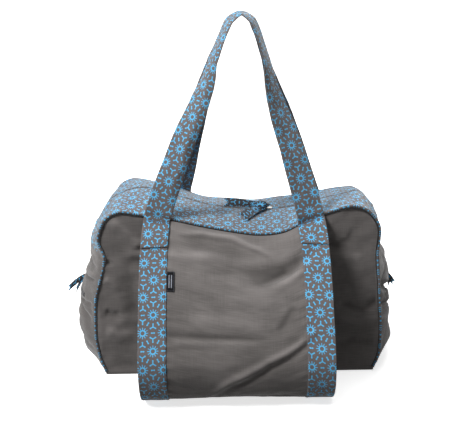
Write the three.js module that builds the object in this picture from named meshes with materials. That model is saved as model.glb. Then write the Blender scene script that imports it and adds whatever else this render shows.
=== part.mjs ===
// Yoga mat bag: a sagging canvas bag with a patterned zip gusset, piped seams, side pocket zips,
// an open sling under its front for a rolled mat, and two long strap handles that stand up.
// Millimetres, +Z up. X runs across the bag, its front faces -Y, and the origin is the middle of
// the underside of its base.
import * as THREE from "three";

// Driving dimensions: the body
const bodyWidth = 460;
const bodyHeight = 290;
const bodyDepth = 200;
const cloth = 1.6;
const baseCloth = 1.6;
const gap = 0.3;
const seamGap = 0.8;
const panelBulge = 12;
const pipingRadius = 2.2;

// Driving dimensions: the zips and their pulls
const zipWidth = 5.4;
const zipThickness = 1.4;
const sideZipLength = 118;
const sideZipHeight = 130;
const sideZipGap = 0.45;
const sliderLength = 10;
const sliderWidth = 7.5;
const sliderHeight = 3;
const ribbonThickness = 0.9;
const topRibbonWidth = 18;
const topRibbonLength = 74;
const sideRibbonWidth = 9;
const sideRibbonLength = 30;
const sideSliderSide = 0.35;
const topSliderX = 54;

// Driving dimensions: the mat sling and its straps
const matRadius = 63;
const slingReach = 74;
const slingCloth = 1.2;
const slingSlack = 7;
const strapWidth = 43.5;
const strapCloth = 1.6;
const strapSpread = 261;
const backStrapSpread = 243;
const layerGap = 0.4;
const labelWidth = 12;
const labelLength = 33;
const labelCloth = 0.8;
const labelDrop = 88;

// Driving dimensions: the handles
const handleCloth = 2.2;
const handleRise = 315;
const tabLength = 47;

// The straps' middle stands off the body's middle, in front to the left and behind to the right.
const frontStrapShift = -8.3;
const backStrapShift = 11.5;
const crestShift = 9;
// How far the back handle bows to the left on its way up
const backHandleBow = 4;
// How much of the spread the sling's top loses to the pull of the handles
const slingPull = 0.04;

const halfWidth = bodyWidth / 2;
const halfDepth = bodyDepth / 2;
const seamInset = pipingRadius + seamGap;
const panelFoot = baseCloth + gap;
const gussetFoot = panelFoot + 0.4 * cloth;

const canvasGrey = { color: 0x6f6a67, roughness: 0.95, metalness: 0 };
const slingGrey = { color: 0x77726f, roughness: 0.95, metalness: 0 };
const printedBlue = { color: 0x6f93a8, roughness: 0.9, metalness: 0 };
const zipDark = { color: 0x2b2a2c, roughness: 0.6, metalness: 0.1 };
const zipMetal = { color: 0xc4c4c0, roughness: 0.35, metalness: 0.9 };
const labelBlack = { color: 0x14141a, roughness: 0.8, metalness: 0 };

// Seam stations, from the base's left end over the top to its right end. x is a share of half the
// width and z of the height: at the front seam, halfway back, and at the back seam.
const stations = [
  // frontX, frontZ, midX, midZ, backX, backZ
  [-1.009, 0.0, -1.096, 0.0, -1.009, 0.0],
  [-1.052, 0.103, -1.226, 0.097, -1.043, 0.103],
  [-1.074, 0.224, -1.265, 0.214, -1.061, 0.224],
  [-1.07, 0.359, -1.239, 0.345, -1.057, 0.359],
  [-1.057, 0.483, -1.217, 0.466, -1.048, 0.483],
  [-1.017, 0.593, -1.165, 0.569, -1.026, 0.593],
  [-0.983, 0.69, -1.117, 0.672, -1.009, 0.707],
  // the pinch where the grey side joins the patterned top
  [-0.978, 0.745, -1.087, 0.745, -1.0, 0.776],
  [-1.013, 0.828, -1.07, 0.831, -1.0, 0.862],
  [-1.0, 0.89, -1.043, 0.907, -0.987, 0.938],
  [-0.952, 0.962, -0.978, 0.983, -0.952, 0.99],
  [-0.857, 1.003, -0.878, 1.031, -0.861, 1.028],
  [-0.717, 0.99, -0.717, 1.059, -0.713, 1.014],
  [-0.478, 0.959, -0.478, 1.007, -0.457, 0.952],
  [-0.278, 0.921, -0.261, 0.952, -0.27, 0.9],
  [-0.065, 0.886, -0.065, 0.924, -0.065, 0.886],
  [0.152, 0.862, 0.152, 0.91, 0.13, 0.872],
  [0.326, 0.879, 0.339, 0.917, 0.326, 0.89],
  [0.478, 0.938, 0.487, 0.938, 0.5, 0.903],
  [0.63, 0.983, 0.643, 0.972, 0.674, 0.928],
  [0.804, 1.017, 0.8, 1.0, 0.839, 0.948],
  [0.904, 0.993, 0.904, 1.014, 0.943, 0.948],
  [0.974, 0.934, 0.983, 0.966, 1.026, 0.897],
  [1.0, 0.883, 1.035, 0.89, 1.061, 0.855],
  [1.0, 0.81, 1.057, 0.786, 1.096, 0.8],
  // the pinch on the right
  [0.991, 0.741, 1.074, 0.69, 1.113, 0.741],
  [0.996, 0.655, 1.104, 0.628, 1.122, 0.655],
  [1.009, 0.552, 1.148, 0.552, 1.122, 0.552],
  [1.017, 0.455, 1.165, 0.476, 1.117, 0.466],
  // the fold under the side zip
  [1.022, 0.397, 1.126, 0.4, 1.113, 0.407],
  [1.03, 0.331, 1.17, 0.328, 1.109, 0.345],
  [1.035, 0.224, 1.165, 0.224, 1.1, 0.224],
  [1.026, 0.1, 1.17, 0.097, 1.078, 0.1],
  [0.983, 0.0, 1.07, 0.0, 1.026, 0.0],
];
const leftPinch = 7;
const rightPinch = 25;
const leftCorner = 10.4;
const rightCorner = 22.3;

// The legs of the handles. rise is a share of the handle's rise and the spreads are shares of half
// the straps' spread; twist turns the strap's face, in degrees, from facing out to facing up.
const legs = [
  // rise, frontSpread, backSpread, twist
  [0.03, 0.98, 0.98, 3],
  [0.126, 0.905, 0.9, 8],
  [0.264, 0.785, 0.8, 21],
  [0.384, 0.68, 0.705, 29],
  [0.49, 0.573, 0.615, 39],
  [0.588, 0.485, 0.53, 50],
  [0.663, 0.425, 0.46, 62],
  [0.752, 0.37, 0.385, 74],
  [0.843, 0.29, 0.3, 77],
  [0.912, 0.22, 0.225, 77],
  [0.972, 0.135, 0.135, 77],
];
const crestTwist = legs[legs.length - 1][3];

const bag = new THREE.Group();

// Adds one piece to the bag.
function addPiece(name, geometry, look) {
  const mesh = new THREE.Mesh(geometry, new THREE.MeshStandardMaterial(look));
  mesh.name = name;
  bag.add(mesh);
  return mesh;
}

// Unit normals of a grid of points, from the lines to its neighbours along and across.
function gridNormals(rows) {
  return rows.map((row, i) => row.map((point, j) => {
    const along = rows[Math.min(i + 1, rows.length - 1)][j].clone();
    along.sub(rows[Math.max(i - 1, 0)][j]);
    const across = row[Math.min(j + 1, row.length - 1)].clone();
    across.sub(row[Math.max(j - 1, 0)]);
    return along.cross(across).normalize();
  }));
}

// A closed wall of even thickness about a grid of middle points.
function wall(rows, thickness) {
  const rowCount = rows.length;
  const columnCount = rows[0].length;
  const normals = gridNormals(rows);
  const points = [];
  for (const side of [0.5, -0.5]) {
    rows.forEach((row, i) => row.forEach((point, j) => {
      points.push(point.clone().addScaledVector(normals[i][j], side * thickness));
    }));
  }
  const layer = rowCount * columnCount;
  const at = (side, i, j) => side * layer + i * columnCount + j;
  const faces = [];
  const addQuad = (a, b, c, d) => faces.push(a, b, c, a, c, d);
  for (let i = 0; i < rowCount - 1; i += 1) {
    for (let j = 0; j < columnCount - 1; j += 1) {
      addQuad(at(0, i, j), at(0, i + 1, j), at(0, i + 1, j + 1), at(0, i, j + 1));
      faces.push(at(1, i, j), at(1, i + 1, j + 1), at(1, i + 1, j));
      faces.push(at(1, i, j), at(1, i, j + 1), at(1, i + 1, j + 1));
    }
    const last = columnCount - 1;
    addQuad(at(0, i, 0), at(1, i, 0), at(1, i + 1, 0), at(0, i + 1, 0));
    addQuad(at(0, i, last), at(0, i + 1, last), at(1, i + 1, last), at(1, i, last));
  }
  for (let j = 0; j < columnCount - 1; j += 1) {
    const last = rowCount - 1;
    addQuad(at(0, 0, j), at(0, 0, j + 1), at(1, 0, j + 1), at(1, 0, j));
    addQuad(at(0, last, j), at(1, last, j), at(1, last, j + 1), at(0, last, j + 1));
  }
  const geometry = new THREE.BufferGeometry();
  const flat = points.flatMap((point) => point.toArray());
  geometry.setAttribute("position", new THREE.Float32BufferAttribute(flat, 3));
  geometry.setIndex(faces);
  geometry.computeVertexNormals();
  return geometry;
}

// Evenly spaced numbers from start to end, both included.
function spaced(start, end, steps) {
  return Array.from({ length: steps + 1 }, (_, k) => start + ((end - start) * k) / steps);
}

// The front seam, the middle line and the back seam, as curves through the stations.
function seamCurve(xColumn, zColumn, y) {
  const points = stations.map((row) => {
    const z = gussetFoot + row[zColumn] * (bodyHeight - gussetFoot);
    return new THREE.Vector3(row[xColumn] * halfWidth, y, z);
  });
  return new THREE.CatmullRomCurve3(points, false, "centripetal");
}
const frontSeam = seamCurve(0, 1, -halfDepth);
const midLine = seamCurve(2, 3, 0);
const backSeam = seamCurve(4, 5, halfDepth);
const lastStation = stations.length - 1;

function onCurve(curve, station) {
  return curve.getPoint(station / lastStation);
}

// A point of the gusset: station counts along the ring, side runs from -1 in front to 1 behind.
function gussetPoint(station, side) {
  const point = onCurve(frontSeam, station).multiplyScalar((side * (side - 1)) / 2);
  point.addScaledVector(onCurve(midLine, station), 1 - side * side);
  return point.addScaledVector(onCurve(backSeam, station), (side * (side + 1)) / 2);
}

// The outward normal of the gusset at a point.
function gussetNormal(station, side) {
  const step = 0.02;
  const along = gussetPoint(station + step, side).sub(gussetPoint(station - step, side));
  const across = gussetPoint(station, side + step).sub(gussetPoint(station, side - step));
  return along.cross(across).normalize();
}

// The station where a curve over the top reaches a given x.
function stationAtX(curve, x) {
  let low = leftCorner;
  let high = rightCorner;
  while (high - low > 1e-5) {
    const middle = (low + high) / 2;
    if (onCurve(curve, middle).x < x) low = middle;
    else high = middle;
  }
  return low;
}

// The station on one side of the bag where the middle line reaches a given height.
function stationAtHeight(z, low, high) {
  const rising = onCurve(midLine, high).z > onCurve(midLine, low).z;
  while (high - low > 1e-5) {
    const middle = (low + high) / 2;
    if (onCurve(midLine, middle).z < z === rising) low = middle;
    else high = middle;
  }
  return low;
}

// A share of the ring's stations that is a given length long near a station.
function stationShare(station, length) {
  const step = 0.01;
  const speeds = [frontSeam, midLine, backSeam].map((curve) =>
    onCurve(curve, station + step).distanceTo(onCurve(curve, station - step)) / (2 * step));
  return length / Math.min(...speeds);
}

// One piece of the gusset between two stations and two sides.
function gussetRows(from, to, steps, sideFrom, sideTo, sideSteps) {
  return spaced(from, to, steps).map((station) =>
    spaced(sideFrom, sideTo, sideSteps).map((side) => gussetPoint(station, side)));
}

const edgeSide = 1 - seamInset / halfDepth;
const zipSide = (zipWidth / 2 + gap) / halfDepth;
const topFrom = leftPinch + stationShare(leftPinch, gap / 2);
const topTo = rightPinch - stationShare(rightPinch, gap / 2);
const leftTo = leftPinch - stationShare(leftPinch, gap / 2);
const rightFrom = rightPinch + stationShare(rightPinch, gap / 2);

function addGussets() {
  const topFront = gussetRows(topFrom, topTo, 36, -zipSide, -edgeSide, 4);
  addPiece("top_gusset_front", wall(topFront, cloth), printedBlue);
  const topBack = gussetRows(topFrom, topTo, 36, edgeSide, zipSide, 4);
  addPiece("top_gusset_back", wall(topBack, cloth), printedBlue);
  const left = gussetRows(0, leftTo, 14, edgeSide, -edgeSide, 10);
  addPiece("side_gusset_left", wall(left, cloth), canvasGrey);
  const right = gussetRows(rightFrom, lastStation, 18, edgeSide, -edgeSide, 10);
  addPiece("side_gusset_right", wall(right, cloth), canvasGrey);
}

// A seam point drawn in from the piping, towards the inside of its panel.
function insetSeamPoint(curve, station) {
  const step = 0.01;
  const from = onCurve(curve, Math.max(station - step, 0));
  const along = onCurve(curve, Math.min(station + step, lastStation)).sub(from).normalize();
  const inwards = new THREE.Vector3(along.z, 0, -along.x);
  return onCurve(curve, station).addScaledVector(inwards, seamInset);
}

// The height of the edge of a panel, under the piping over a given x.
function seamTopZ(curve, x) {
  return insetSeamPoint(curve, stationAtX(curve, x)).z;
}

// How far a panel stands out: most in its middle, and not at all along its seams.
function bulgeAt(curve, x, z) {
  const acrossShare = Math.max(0, 1 - (x / halfWidth) ** 2);
  const share = (z - panelFoot) / (seamTopZ(curve, x) - panelFoot);
  const upShare = THREE.MathUtils.clamp(share, 0, 1);
  return panelBulge * acrossShare * (4 * upShare * (1 - upShare)) ** 2;
}

// A panel inside a seam, from the foot of the bag to its top, as a patch between four edges.
function panelRows(curve, facing) {
  const acrossSteps = 18;
  const upSteps = 14;
  const left = spaced(0, leftCorner, upSteps).map((s) => insetSeamPoint(curve, s));
  const right = spaced(lastStation, rightCorner, upSteps).map((s) => insetSeamPoint(curve, s));
  left[0].z = panelFoot;
  right[0].z = panelFoot;
  const top = spaced(leftCorner, rightCorner, acrossSteps).map((s) => insetSeamPoint(curve, s));
  const bottom = spaced(0, 1, acrossSteps).map((u) => left[0].clone().lerp(right[0], u));
  return spaced(0, 1, upSteps).map((v, i) => spaced(0, 1, acrossSteps).map((u, j) => {
    const point = bottom[j].clone().lerp(top[j], v);
    point.add(left[i].clone().lerp(right[i], u));
    const low = left[0].clone().lerp(right[0], u);
    point.sub(low.lerp(left[upSteps].clone().lerp(right[upSteps], u), v));
    point.y = facing * (halfDepth + bulgeAt(curve, point.x, point.z));
    return point;
  }));
}

function addPanels() {
  addPiece("front_panel", wall(panelRows(frontSeam, -1).reverse(), cloth), canvasGrey);
  addPiece("back_panel", wall(panelRows(backSeam, 1), cloth), canvasGrey);
}

// The flat base that the walls stand on.
function addBase() {
  const hem = cloth;
  const rows = spaced(0, 1, 10).map((u) => spaced(-1, 1, 8).map((side) => {
    const left = gussetPoint(0, side).x - hem;
    const right = gussetPoint(lastStation, side).x + hem;
    const y = side * (halfDepth + cloth / 2);
    return new THREE.Vector3(left + (right - left) * u, y, baseCloth / 2);
  }));
  addPiece("base_panel", wall(rows, baseCloth), canvasGrey);
}

// A round cord sewn along a seam, from just over the base on one side to the other.
function addPiping(name, curve) {
  const section = new THREE.Shape();
  section.absarc(0, 0, pipingRadius, 0, 2 * Math.PI);
  const start = stationShare(0.2, pipingRadius + gap);
  const path = new THREE.CatmullRomCurve3(
    spaced(start, lastStation - start, 120).map((station) => onCurve(curve, station)));
  const options = { steps: 66, curveSegments: 3, extrudePath: path, bevelEnabled: false };
  addPiece(name, new THREE.ExtrudeGeometry(section, options), printedBlue);
}

// A zip's row of teeth, lying in the gap between the two halves of the top.
function addTopZip() {
  const half = zipWidth / 2 / halfDepth;
  addPiece("zip_chain", wall(gussetRows(topFrom, topTo, 36, half, -half, 2), zipThickness), zipDark);
}

// A point over the gusset's outer face.
function overGusset(station, side, height) {
  const point = gussetPoint(station, side);
  return point.addScaledVector(gussetNormal(station, side), cloth / 2 + height);
}

// A slider: a small block over a zip, turned to lie on it.
function addSlider(name, station, side, height, alongZip) {
  const normal = gussetNormal(station, side);
  const step = 0.02;
  const ahead = alongZip === "station"
    ? gussetPoint(station + step, side).sub(gussetPoint(station - step, side))
    : gussetPoint(station, side + step).sub(gussetPoint(station, side - step));
  const along = ahead.addScaledVector(normal, -ahead.dot(normal)).normalize();
  const across = normal.clone().cross(along);
  const slider = addPiece(name, new THREE.BoxGeometry(sliderLength, sliderWidth, sliderHeight), zipMetal);
  slider.quaternion.setFromRotationMatrix(new THREE.Matrix4().makeBasis(along, across, normal));
  slider.position.copy(overGusset(station, side, height + sliderHeight / 2));
  return slider;
}

// A ribbon along a route, its ends cut to swallow tails. Each stop has a place and the direction
// of the ribbon's width.
function ribbonRows(stops, width, notch) {
  const last = stops.length - 1;
  return stops.map(({ place, across }, i) => spaced(-0.5, 0.5, 4).map((share) => {
    const point = place.clone().addScaledVector(across, share * width);
    if (i === 0 || i === last) {
      const inner = stops[i === 0 ? 1 : last - 1].place;
      const back = inner.clone().sub(place).normalize();
      point.addScaledVector(back, notch * (1 - Math.abs(share) * 2));
    }
    return point;
  }));
}

// The top slider and its ribbon: two tails that lie over the gusset, towards the left.
function addTopPull() {
  const sliderStation = stationAtX(midLine, topSliderX);
  addSlider("zip_slider", sliderStation, 0, gap, "station");
  // Each stop: how far it lies from the slider, its side, its height over the cloth
  const route = [
    // run, side, height
    [1.0, 0.02, 1.6],
    [0.7, 0.0, 2.2],
    [0.38, -0.02, 4.4],
    [0.02, -0.05, 7.6],
    [-0.05, -0.06, 6.4],
    [0.0, -0.09, 5.2],
    [0.28, -0.24, 2.8],
    [0.5, -0.4, 1.8],
    [0.72, -0.54, 1.5],
  ];
  const start = topSliderX - sliderLength / 2 - gap;
  const stops = route.map(([run, side, height]) => {
    const station = stationAtX(midLine, start - run * topRibbonLength);
    return { place: overGusset(station, side, height + ribbonThickness), side };
  });
  stops.forEach((stop, i) => {
    const before = stops[Math.max(i - 1, 0)].place;
    const after = stops[Math.min(i + 1, stops.length - 1)].place;
    const along = after.clone().sub(before);
    along.z = 0;
    if (i > 2 && i < 6) along.set(0.5, -0.87, 0);
    stop.across = new THREE.Vector3(0, 0, 1).cross(along.normalize());
  });
  addPiece("zip_pull_ribbon", wall(ribbonRows(stops, topRibbonWidth, 7), ribbonThickness), printedBlue);
}

// A side pocket's zip, level across the outer face of one side gusset, with its slider and ribbon.
function addSidePocket(word, low, high, facing, reachOut) {
  const station = stationAtHeight(sideZipHeight, low, high);
  const halfShare = stationShare(station, zipWidth) / 2;
  const reach = sideZipLength / bodyDepth;
  const height = sideZipGap + zipThickness / 2;
  const rows = spaced(-reach, reach, 12).map((side) =>
    spaced(station - halfShare, station + halfShare, 1).map((s) => overGusset(s, side, height)));
  addPiece(`side_zip_${word}`, wall(rows, zipThickness), zipDark);
  const sliderHeightOver = sideZipGap + zipThickness + gap;
  addSlider(`side_slider_${word}`, station, sideSliderSide, sliderHeightOver, "side");
  // The ribbon folds over the slider, and its two tails hang outwards and down.
  const route = [
    // out, back, down
    [0.75, -0.2, 0.6],
    [0.48, -0.14, 0.32],
    [0.16, -0.08, 0.06],
    [0.0, 0.0, 0.0],
    [0.14, 0.08, 0.14],
    [0.36, 0.14, 0.52],
    [0.5, 0.2, 0.82],
  ];
  const ribbonHeight = sliderHeightOver + sliderHeight + gap + ribbonThickness / 2;
  const root = overGusset(station, sideSliderSide, ribbonHeight);
  const across = gussetPoint(station + halfShare, sideSliderSide);
  across.sub(gussetPoint(station - halfShare, sideSliderSide)).normalize();
  const stops = route.map(([out, back, down]) => {
    const shift = new THREE.Vector3(facing * out * reachOut, back, -down);
    shift.multiplyScalar(sideRibbonLength);
    return { place: root.clone().add(shift), across };
  });
  addPiece(`side_ribbon_${word}`, wall(ribbonRows(stops, sideRibbonWidth, 4), ribbonThickness), printedBlue);
}

const slingTopY = -(halfDepth + cloth / 2 + gap);
const slingRadius = matRadius + gap;
const matCentreY = -halfDepth - slingReach;
const matCentreZ = strapCloth + layerGap + slingCloth + slingRadius;

// Where the cloth leaves a seam and meets the mat: the angle of its hang from straight down.
function hangAngle(topZ) {
  const outwards = slingTopY - matCentreY;
  const drop = topZ - matCentreZ;
  return Math.atan2(outwards, drop) + Math.asin(slingRadius / Math.hypot(outwards, drop));
}

const hangSteps = 9;
const wrapSteps = 9;
const returnSteps = 4;
const slingSteps = hangSteps + wrapSteps + returnSteps;

// A point of the sling, counted in steps down the hang, round the mat and back to the base.
// x is where it stands across the bag at the base, offset how far out of the inner face it lies.
function slingPoint(x, step, offset) {
  const down = Math.min(step / hangSteps, 1);
  const acrossX = frontStrapShift + (x - frontStrapShift) * (1 - slingPull * (1 - down) ** 5);
  const topX = frontStrapShift + (x - frontStrapShift) * (1 - slingPull);
  const topZ = seamTopZ(frontSeam, topX);
  const angle = hangAngle(topZ);
  if (step <= hangSteps) {
    const meetY = matCentreY - slingRadius * Math.cos(angle);
    const meetZ = matCentreZ + slingRadius * Math.sin(angle);
    const out = offset + slingSlack * 4 * down * (1 - down);
    const y = THREE.MathUtils.lerp(slingTopY, meetY, down) - out * Math.cos(angle);
    const z = THREE.MathUtils.lerp(topZ, meetZ, down) + out * Math.sin(angle);
    return new THREE.Vector3(acrossX, y, z);
  }
  if (step <= hangSteps + wrapSteps) {
    const turned = THREE.MathUtils.lerp(angle, -Math.PI / 2, (step - hangSteps) / wrapSteps);
    const reach = slingRadius + offset;
    const y = matCentreY - reach * Math.cos(turned);
    return new THREE.Vector3(acrossX, y, matCentreZ + reach * Math.sin(turned));
  }
  const back = (step - hangSteps - wrapSteps) / returnSteps;
  const y = THREE.MathUtils.lerp(matCentreY, slingTopY, back);
  return new THREE.Vector3(acrossX, y, matCentreZ - slingRadius - offset);
}

const slingOffset = slingCloth / 2;
const strapOffset = slingCloth + layerGap + strapCloth / 2;
const tabOffset = slingCloth + layerGap + strapCloth + layerGap + handleCloth / 2;

// The step of the hang that lies a given length below its top edge.
function hangStep(x, length) {
  return (length / slingPoint(x, 0, 0).distanceTo(slingPoint(x, hangSteps, 0))) * hangSteps;
}

// The step of the hang at a given height.
function hangStepAtHeight(x, z) {
  const topZ = slingPoint(x, 0, 0).z;
  return ((topZ - z) / (topZ - slingPoint(x, hangSteps, 0).z)) * hangSteps;
}

// The x of points across a strap, from its inner edge to its outer one.
function strapColumns(facing, side) {
  const shift = facing < 0 ? frontStrapShift : backStrapShift;
  const halfSpread = (facing < 0 ? strapSpread : backStrapSpread) / 2;
  return [-0.5, 0, 0.5].map((share) => shift + side * (halfSpread + share * strapWidth));
}

function addSling() {
  const left = strapColumns(-1, -1).reverse();
  const right = strapColumns(-1, 1);
  const between = spaced(left[2], right[0], 9).slice(1, -1);
  const columns = [...left, ...between, ...right];
  const steps = spaced(0, slingSteps, slingSteps);
  const rows = steps.map((step) => columns.map((x) => slingPoint(x, step, slingOffset)));
  addPiece("sling_panel", wall(rows, slingCloth), slingGrey);
  for (const [name, xs] of [["strap_lower_left", left], ["strap_lower_right", right]]) {
    const strap = steps.map((step) => xs.map((x) => slingPoint(x, step, strapOffset)));
    addPiece(name, wall(strap, strapCloth), printedBlue);
  }
}

// The small label, sewn in beside the left strap's inner edge, flat on the sling.
function addLabel() {
  const inner = strapColumns(-1, -1)[0];
  const offset = slingCloth + layerGap + labelCloth / 2;
  const topStep = hangStep(inner, labelDrop);
  const bottomStep = hangStep(inner, labelDrop + labelLength);
  const rows = spaced(topStep, bottomStep, 4).map((step) =>
    spaced(inner + gap, inner + gap + labelWidth, 2).map((x) => slingPoint(x, step, offset)));
  addPiece("label", wall(rows, labelCloth), labelBlack);
}

// A point on or over the back panel, up from the foot by a share of the height of its seam.
function backPoint(x, up, offset) {
  const topZ = seamTopZ(backSeam, x);
  const z = THREE.MathUtils.lerp(panelFoot, topZ, up);
  const slope = (bulgeAt(backSeam, x, z + 1) - bulgeAt(backSeam, x, z - 1)) / 2;
  const normal = new THREE.Vector3(0, 1, -slope).normalize();
  const y = halfDepth + bulgeAt(backSeam, x, z) + cloth / 2 + layerGap;
  const point = new THREE.Vector3(x, y, z);
  return point.addScaledVector(normal, offset);
}

function addBackStraps() {
  for (const [name, side] of [["strap_back_left", -1], ["strap_back_right", 1]]) {
    const columns = strapColumns(1, side);
    if (side > 0) columns.reverse();
    const rows = spaced(0.01, 1, 12).map((up) =>
      columns.map((x) => backPoint(x, up, strapCloth / 2)));
    addPiece(name, wall(rows, strapCloth), printedBlue);
  }
}

// The rows of a handle's tab, from its low end to the seam, sewn over a strap.
function tabRows(facing, side) {
  const columns = strapColumns(facing, side);
  if (facing < 0) {
    const lowZ = slingPoint(columns[1], hangStep(columns[1], tabLength), 0).z;
    return [1, 0.5, 0].map((share) =>
      columns.map((x) => slingPoint(x, share * hangStepAtHeight(x, lowZ), tabOffset)));
  }
  columns.reverse();
  const lowUp = 1 - tabLength / (seamTopZ(backSeam, columns[1]) - panelFoot);
  const offset = strapCloth + layerGap + handleCloth / 2;
  return spaced(lowUp, 1, 2).map((up) => columns.map((x) => backPoint(x, up, offset)));
}

// A handle: a tab, a leg that turns its face up as it rises, the crest, and back down.
function addHandle(name, facing) {
  const leftTab = tabRows(facing, -1);
  const rightTab = tabRows(facing, 1);
  const feet = [leftTab[2][1], rightTab[2][1]];
  const crestY = (strapWidth / 2) * Math.sin(THREE.MathUtils.degToRad(crestTwist)) + handleCloth + gap;
  const crestZ = bodyHeight - bodyHeight * 0.02 + handleRise;
  const footMiddle = (feet[0].x + feet[1].x) / 2;
  const footHalf = (feet[1].x - feet[0].x) / 2;
  const bow = facing < 0 ? 0 : backHandleBow;
  const firstRise = legs[0][0];
  const legPoint = (side, rise, spread) => {
    const foot = side < 0 ? feet[0] : feet[1];
    const middle = THREE.MathUtils.lerp(footMiddle, crestShift, rise) - bow * Math.sin(Math.PI * rise);
    const lean = (rise - firstRise) / (1 - firstRise);
    const y = THREE.MathUtils.lerp(foot.y, facing * crestY, lean);
    const z = THREE.MathUtils.lerp(foot.z, crestZ, rise);
    return new THREE.Vector3(middle + side * spread * footHalf, y, z);
  };
  const spreadColumn = facing < 0 ? 1 : 2;
  const places = [
    ...legs.map((row) => legPoint(-1, row[0], row[spreadColumn])),
    legPoint(1, 1, 0),
    ...legs.toReversed().map((row) => legPoint(1, row[0], row[spreadColumn])),
  ];
  const twists = [...legs, legs[legs.length - 1], ...legs.toReversed()].map((row) => row[3]);
  const curve = new THREE.CatmullRomCurve3(places, false, "centripetal");
  const rows = spaced(0, places.length - 1, 2 * (places.length - 1)).map((step) => {
    const share = step / (places.length - 1);
    const low = Math.floor(step);
    const high = Math.min(low + 1, places.length - 1);
    const twist = THREE.MathUtils.degToRad(THREE.MathUtils.lerp(twists[low], twists[high], step - low));
    const along = curve.getTangent(share);
    const upwards = new THREE.Vector3(-along.z, 0, along.x);
    const face = new THREE.Vector3(0, facing, 0).multiplyScalar(Math.cos(twist));
    face.addScaledVector(upwards, Math.sin(twist));
    face.addScaledVector(along, -face.dot(along)).normalize();
    const across = face.clone().cross(along);
    const place = curve.getPoint(share);
    return [-0.5, 0, 0.5].map((s) => place.clone().addScaledVector(across, s * strapWidth));
  });
  const handle = [...leftTab, ...rows, ...rightTab.toReversed()];
  addPiece(name, wall(handle, handleCloth), printedBlue);
}

addPanels();
addGussets();
addBase();
addPiping("piping_front", frontSeam);
addPiping("piping_back", backSeam);
addTopZip();
addTopPull();
addSidePocket("left", 3, 6, -1, 1.1);
addSidePocket("right", 27, 29, 1, 0.65);
addSling();
addLabel();
addBackStraps();
addHandle("handle_front", -1);
addHandle("handle_back", 1);

export default bag;
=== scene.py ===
"""Looks of a yoga mat bag: sagging canvas, a printed zip top, piped seams, an open sling, two handles.

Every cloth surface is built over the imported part's own surfaces, from the same sizes in millimetres.
"""

import math

import bpy
import numpy as np
from mathutils import Matrix


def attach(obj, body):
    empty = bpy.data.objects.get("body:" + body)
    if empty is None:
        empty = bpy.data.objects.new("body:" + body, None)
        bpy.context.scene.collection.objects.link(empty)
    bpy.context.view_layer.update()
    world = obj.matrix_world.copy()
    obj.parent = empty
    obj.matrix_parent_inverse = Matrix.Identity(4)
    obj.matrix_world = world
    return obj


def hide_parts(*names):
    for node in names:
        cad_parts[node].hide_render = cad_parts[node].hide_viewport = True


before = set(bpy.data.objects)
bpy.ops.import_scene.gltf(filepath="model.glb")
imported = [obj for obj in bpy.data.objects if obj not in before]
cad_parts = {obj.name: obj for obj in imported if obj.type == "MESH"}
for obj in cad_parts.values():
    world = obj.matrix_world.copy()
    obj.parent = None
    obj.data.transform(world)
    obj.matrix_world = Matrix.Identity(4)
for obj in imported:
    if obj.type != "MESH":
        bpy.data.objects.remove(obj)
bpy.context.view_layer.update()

# The CAD part's own sizes, in millimetres
BODY_WIDTH, BODY_HEIGHT, BODY_DEPTH = 460.0, 290.0, 200.0
CLOTH, BASE_CLOTH, GAP, SEAM_GAP, PANEL_BULGE = 1.6, 1.6, 0.3, 0.8, 12.0
PIPING_R = 2.2
ZIP_WIDTH, ZIP_THICK = 5.4, 1.4
LOOP_R, SLING_REACH, SLING_CLOTH, SLING_SLACK = 63.0, 74.0, 1.2, 7.0
STRAP_WIDTH, STRAP_CLOTH, STRAP_SPREAD, BACK_SPREAD = 43.5, 1.6, 261.0, 243.0
LAYER_GAP = 0.4
HANDLE_CLOTH, HANDLE_RISE, TAB_LENGTH = 2.2, 315.0, 47.0
FRONT_SHIFT, BACK_SHIFT, CREST_SHIFT, BACK_BOW, SLING_PULL = -8.3, 11.5, 9.0, 4.0, 0.04
HALF_W, HALF_D = BODY_WIDTH / 2, BODY_DEPTH / 2
PANEL_FOOT = BASE_CLOTH + GAP
GUSSET_FOOT = PANEL_FOOT + 0.4 * CLOTH

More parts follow.
